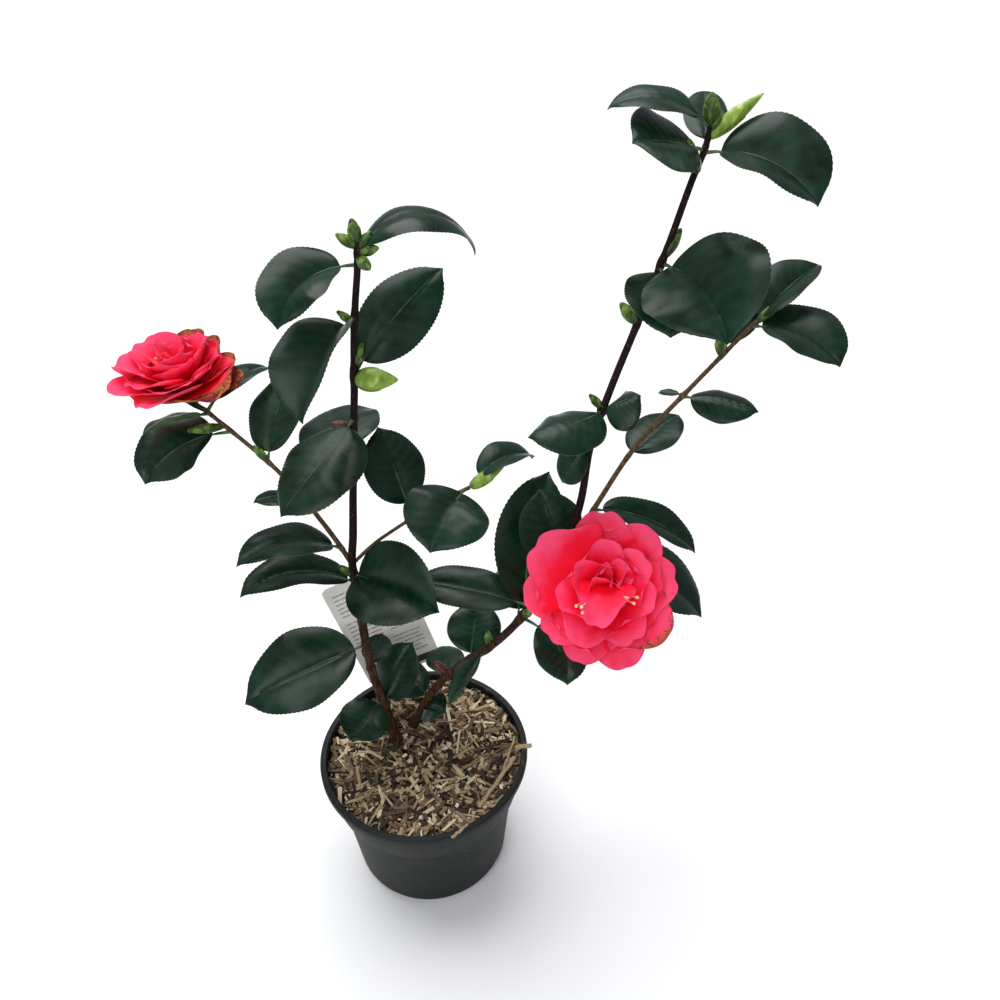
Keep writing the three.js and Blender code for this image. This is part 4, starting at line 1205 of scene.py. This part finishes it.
# %% [markdown]
# ## The blooms
# Each bloom is a loose double flower. Its outer petals are broad, nearly flat and notched.
# Further in they are shorter, steeper and more cupped, and the innermost stand up folded
# round a few stamens. One petal is a curved sheet: a row of sizes says which way it points,
# how long and wide it is, how steeply it starts, how far it curls back and how deep its cup
# is. Rows rather than perfect rings, because no flower is regular.

# %% One petal
PETAL_ROWS, PETAL_COLUMNS = 26, 18
PETAL_THICK, PETAL_THINNING = 0.45, 0.2
ROUNDING, NOTCH_WIDTH = 0.36, 0.2         # how round the end is, and how wide its notch
FRILL, INNER_FRILL, INNER_CUP = 0.045, 0.075, 75
PLEAT = 0.012                             # frills and pleats are shares of the length


def petal_width(t):
    """Half width of a petal along it, from 0 to 1: a narrow claw, broad, then less so."""
    return (0.2 + 0.8 * smooth_step(0.0, 0.6, t)) * (1 - 0.3 * smooth_step(0.6, 1.0, t))


def petal_sheet(form, bloom, row):
    """One petal of a bloom, curved along and across, with a ruffled and notched rim."""
    bearing, start, length, width, rise, curl, cup, finish = row
    up, side, across = bloom["axes"]
    turn = math.radians(bearing)
    out = side * math.cos(turn) + across * math.sin(turn)
    level = across * math.cos(turn) - side * math.sin(turn)
    # The spine: it starts at one slope and curls to another.
    mark = np.linspace(0, 1, 41)
    slope = np.radians(rise + curl * mark)
    ahead = out * np.cos(slope)[:, None] + up * np.sin(slope)[:, None]
    facing = up * np.cos(slope)[:, None] - out * np.sin(slope)[:, None]
    steps = (ahead[1:] + ahead[:-1]) / 2 * np.diff(mark)[:, None] * length
    spine = bloom["base"] + up * start + np.vstack([np.zeros(3), steps.cumsum(axis=0)])
    # The blade: its rows bend back at the sides, which rounds its end, and dip in the notch.
    t = np.sin(np.linspace(0, np.pi / 2, PETAL_ROWS + 1))[:, None]
    u = np.linspace(-1, 1, PETAL_COLUMNS + 1)[None, :]
    phase, notch = dice.uniform(0, 6.28, 4), dice.uniform(0.0, 0.05)
    dip = (ROUNDING * np.abs(u) ** 2.5 * t ** 2
           + notch * np.exp(-(u / NOTCH_WIDTH) ** 2) * t ** 6)
    place = np.clip(t * (1 - dip), 0, 1)
    middle, face = (np.stack([np.interp(place, mark, table[:, k]) for k in range(3)], -1)
                    for table in (spine, facing))
    half = petal_width(t) * width / 2
    bend = math.radians(cup) + 1e-3
    frill = dice.uniform(0.6, 1.0) * length * (INNER_FRILL if cup > INNER_CUP else FRILL)
    waves = (0.5 * np.sin(3.1 * u + phase[0]) + 0.5 * np.sin(6.4 * u * t + phase[1])
             + 0.2 * np.sin(11 * u + phase[2]) * t ** 3)
    pleat = PLEAT * length * np.sin(15 * u + phase[3]) * t * (1 - 0.6 * t)
    lift = half * (1 - np.cos(u * bend)) / bend + frill * waves * t ** 2.2 + pleat
    points = (middle + level * (half * np.sin(u * bend) / bend)[..., None]
              + face * lift[..., None])
    form.sheet(points, face, PETAL_THICK - PETAL_THINNING * t + 0 * u, finish,
               tone=np.clip(t ** 1.5 + 0.12 * np.abs(u), 0, 1))


# %% The two blooms
BLOOMS = {
    "right_bloom": dict(calyx=(117, -23, 271), looks=(-0.18, -0.72, 0.67),
                        stalk_from=(100, -1, 290)),
    "left_bloom": dict(calyx=(-114, 67, 379), looks=(-0.2, 0.05, 0.97),
                       stalk_from=(-107.5, 64.2, 370.7)),
}
# bearing, start, length, width, rise, curl, cup, finish
PETALS = {
    "right_bloom": [
        (82, 3.2, 50, 56, 28, -24, 22, FRESH), (178, 3.0, 49, 54, 28, -26, 24, FRESH),
        (214, 3.2, 46, 50, 30, -24, 28, FRESH), (281, 2.6, 51, 54, 22, -24, 22, FRESH),
        (246, 2.9, 48, 50, 26, -24, 24, FRESH), (318, 3.0, 50, 58, 24, -26, 22, TINGED),
        (2, 3.0, 48, 56, 26, -26, 24, FRESH), (42, 3.2, 49, 56, 28, -28, 24, FRESH),
        (140, 3.8, 53, 64, 38, -34, 18, FRESH),
        (240, 4.6, 42, 46, 42, -24, 36, FRESH), (296, 4.6, 42, 48, 40, -24, 32, FRESH),
        (342, 5.0, 39, 46, 48, -30, 40, FRESH), (28, 5.0, 40, 46, 50, -32, 42, FRESH),
        (76, 5.2, 39, 42, 54, -28, 50, FRESH), (186, 5.2, 36, 40, 52, -26, 46, FRESH),
        (128, 5.8, 37, 36, 64, -16, 60, FRESH),
        (252, 6.2, 50, 40, 124, -138, 28, FRESH), (108, 6.4, 33, 36, 84, -14, 84, FRESH),
        (46, 6.5, 31, 30, 60, -30, 110, FRESH), (20, 6.6, 28, 26, 58, -34, 90, FRESH),
        (70, 6.8, 28, 26, 66, -18, 120, FRESH), (326, 6.5, 27, 26, 58, -14, 70, FRESH),
        (222, 6.6, 26, 24, 70, -20, 60, FRESH)],
    "left_bloom": [
        (205, 2.6, 46, 50, 38, -20, 22, FRESH), (166, 2.6, 46, 52, 48, -22, 24, FRESH),
        (250, 2.6, 42, 50, 28, -16, 24, FRESH), (308, 2.8, 42, 52, 22, -24, 26, SCORCHED),
        (338, 2.8, 37, 48, 14, -18, 24, SCORCHED), (14, 2.6, 35, 42, 22, -6, 30, SPOTTED),
        (54, 2.6, 39, 46, 36, -8, 28, SPOTTED), (94, 2.6, 43, 48, 42, -12, 24, FRESH),
        (130, 2.6, 44, 48, 50, -20, 24, FRESH),
        (184, 4.2, 41, 44, 58, -30, 34, FRESH), (226, 4.2, 39, 44, 46, -26, 34, FRESH),
        (270, 4.2, 38, 46, 34, -16, 38, FRESH), (316, 4.2, 30, 40, 34, -6, 40, FRESH),
        (6, 4.2, 31, 38, 38, -8, 40, FRESH), (68, 4.2, 39, 42, 48, -10, 40, SPOTTED),
        (118, 4.2, 40, 42, 58, -18, 40, FRESH), (154, 4.2, 40, 40, 62, -26, 36, FRESH),
        (30, 5.6, 34, 38, 50, -4, 56, FRESH), (100, 5.6, 34, 34, 68, -8, 56, FRESH),
        (168, 5.6, 34, 36, 72, -16, 56, FRESH), (232, 5.6, 32, 36, 62, -16, 52, FRESH),
        (300, 5.6, 31, 38, 48, -4, 56, FRESH),
        (60, 7.0, 29, 28, 72, 2, 90, FRESH), (180, 7.0, 29, 30, 80, -10, 84, FRESH),
        (280, 7.0, 29, 32, 66, -14, 70, FRESH), (230, 7.4, 25, 24, 80, -4, 100, FRESH),
        (350, 7.4, 26, 26, 68, 0, 100, FRESH)],
}
for name, bloom in BLOOMS.items():
    up = unit(np.array(bloom["looks"]))
    side = unit(np.array([1.0, 0, 0]) - up * up[0])
    bloom["axes"] = (up, side, np.cross(up, side))
    bloom["base"] = np.array(bloom["calyx"], float)
    petals = Form()
    for row in PETALS[name]:
        petal_sheet(petals, bloom, row)
    petals.piece(name + "_petals", PETAL_FINISHES, [name], "petal", sharp=75)

# %% [markdown]
# ## Calyx and stamens
# Behind each bloom six rounded green sepals hold the petals on a short thick stalk. In
# front a few stamens show: pale threads, each with a small powdery yellow head.

# %% Calyx, stalk and stamens
SEPALS, SEPAL_DROP = 6, 4.5
SEPAL = (0.0, 12.5, 12, 28, 26, 60, 0)    # a petal's row, from its start on
STAMEN_FOOT, STAMEN_OUT = 8, 3
THREAD_RADIUS, HEAD_RADIUS, HEAD_HALF = 0.42, 0.95, 1.3


def calyx(form, bloom):
    """The stalk behind a bloom and the sepals that clasp the foot of its petals."""
    up, base = bloom["axes"][0], bloom["base"]
    stalk = np.array([bloom["stalk_from"], base - 6 * up, base - 2 * up, base + 4 * up])
    form.tube(stalk, np.array([1.4, 1.9, 4.6, 6.2]), 14)
    behind = dict(bloom, base=base - SEPAL_DROP * up)
    for k in range(SEPALS):
        bearing = math.degrees(2 * math.pi * k / SEPALS + 0.4)
        petal_sheet(form, behind, (bearing, *SEPAL))


def stamens(form, bloom, places):
    """Threads with heads. A place is a bearing, a lean from the axis and a length."""
    up, side, across = bloom["axes"]
    for bearing, lean, length in places:
        turn, tilt = math.radians(bearing), math.radians(lean)
        out = side * math.cos(turn) + across * math.sin(turn)
        s = np.linspace(0, 1, 10)
        bowed = np.outer(np.cos(tilt * s), up) + np.outer(np.sin(tilt * s), out)
        thread = (bloom["base"] + STAMEN_FOOT * up + out * STAMEN_OUT
                  + bowed * (s * length)[:, None])
        form.tube(thread, THREAD_RADIUS - 0.1 * s)
        at = np.linspace(-1, 1, 9)
        head = thread[-1] + np.outer(HEAD_HALF * at, unit(bowed[-1] + 0.7 * out))
        form.tube(head, HEAD_RADIUS * np.sqrt(np.clip(1 - at ** 2, 0.02, 1)), 10, 1)


green, threads = Form(), Form()
for bloom in BLOOMS.values():
    calyx(green, bloom)
STAMENS = {"right_bloom": [(212, 20, 36), (205, 25, 34), (222, 24, 35), (335, 22, 31),
                           (330, 31, 32), (341, 34, 31)],
           "left_bloom": [(200, 14, 22)]}
for name, places in STAMENS.items():
    stamens(threads, BLOOMS[name], places)
green.piece("bloom_calyxes", BUD_FINISHES[:1], [], "leaf", sharp=60)
threads.piece("bloom_stamens", STAMEN_FINISHES, [], "petal", sharp=60)

# %% [markdown]
# ## The floor, the light and the camera
# The plant stands on a plain pale floor under soft light: an even surround, a broad sun
# from above for the gloss of the leaves, and a weak square lamp in front.

# %% The floor
# Matte white paint, with the faintest clouds in it.
FLOOR_PAINT = mottled("matte_white_floor", 400, 2, [(0.0, "#f4f4f3"), (1.0, "#f8f8f8")],
                      Roughness=0.9)
FLOOR_SIZE, FLOOR_TILES = 16, 8
floor_mesh = bpy.data.meshes.new("floor")
edge = np.linspace(-FLOOR_SIZE / 2, FLOOR_SIZE / 2, FLOOR_TILES + 1)
corner = np.arange((FLOOR_TILES + 1) ** 2).reshape(FLOOR_TILES + 1, FLOOR_TILES + 1).tolist()
floor_mesh.from_pydata([(x, y, 0.0) for y in edge for x in edge], [],
                       [(corner[r][c], corner[r][c + 1], corner[r + 1][c + 1], corner[r + 1][c])
                        for r in range(FLOOR_TILES) for c in range(FLOOR_TILES)])
floor_mesh.materials.append(FLOOR_PAINT)
floor = stand("floor", floor_mesh)

# %% The light
SURROUND = dict(colour="#f2f5ff", strength=0.38)
LAMP = dict(place=(-0.7, -1.3, 1.5), aim=(0.05, 0.02, 0.3), size=1.2, power=14)
SUN = dict(shines=(0.12, -0.4, -1.0), strength=2.7, spread=50)

world = bpy.data.worlds.new("soft_surround")
bpy.context.scene.world = world
world.use_nodes = True
surround = world.node_tree.nodes["Background"].inputs
surround["Color"].default_value = colour(SURROUND["colour"])
surround["Strength"].default_value = SURROUND["strength"]


def turned(way):
    """The rotation that makes a light shine one way."""
    return way.to_track_quat("-Z", "Y").to_euler()


square = bpy.data.lights.new("front", "AREA")
square.size, square.energy = LAMP["size"], LAMP["power"]
front = stand("front", square)
front.location = LAMP["place"]
front.rotation_euler = turned(Vector(LAMP["aim"]) - Vector(LAMP["place"]))
sun = bpy.data.lights.new("sky", "SUN")
sun.energy, sun.angle = SUN["strength"], math.radians(SUN["spread"])
stand("sky", sun).rotation_euler = turned(Vector(SUN["shines"]))

# %% The camera
CAMERA = dict(place=(0, -0.416, 0.650), yaw=8.1, down=37.3, roll=-1.1, lens=32.4, sensor=36)
yaw, down, roll = (math.radians(CAMERA[k]) for k in ("yaw", "down", "roll"))
ahead = Vector((math.sin(yaw) * math.cos(down), math.cos(yaw) * math.cos(down),
                -math.sin(down)))
level = Vector((math.cos(yaw), -math.sin(yaw), 0))
above = level.cross(ahead)
right = level * math.cos(roll) + above * math.sin(roll)
top = above * math.cos(roll) - level * math.sin(roll)
lens = bpy.data.cameras.new("camera")
lens.sensor_fit, lens.sensor_width, lens.lens = "HORIZONTAL", CAMERA["sensor"], CAMERA["lens"]
camera = stand("camera", lens)
turn = Matrix((right, top, -ahead)).transposed()
camera.matrix_world = Matrix.Translation(CAMERA["place"]) @ turn.to_4x4()
bpy.context.scene.camera = camera
bpy.context.scene.view_settings.view_transform = "Standard"
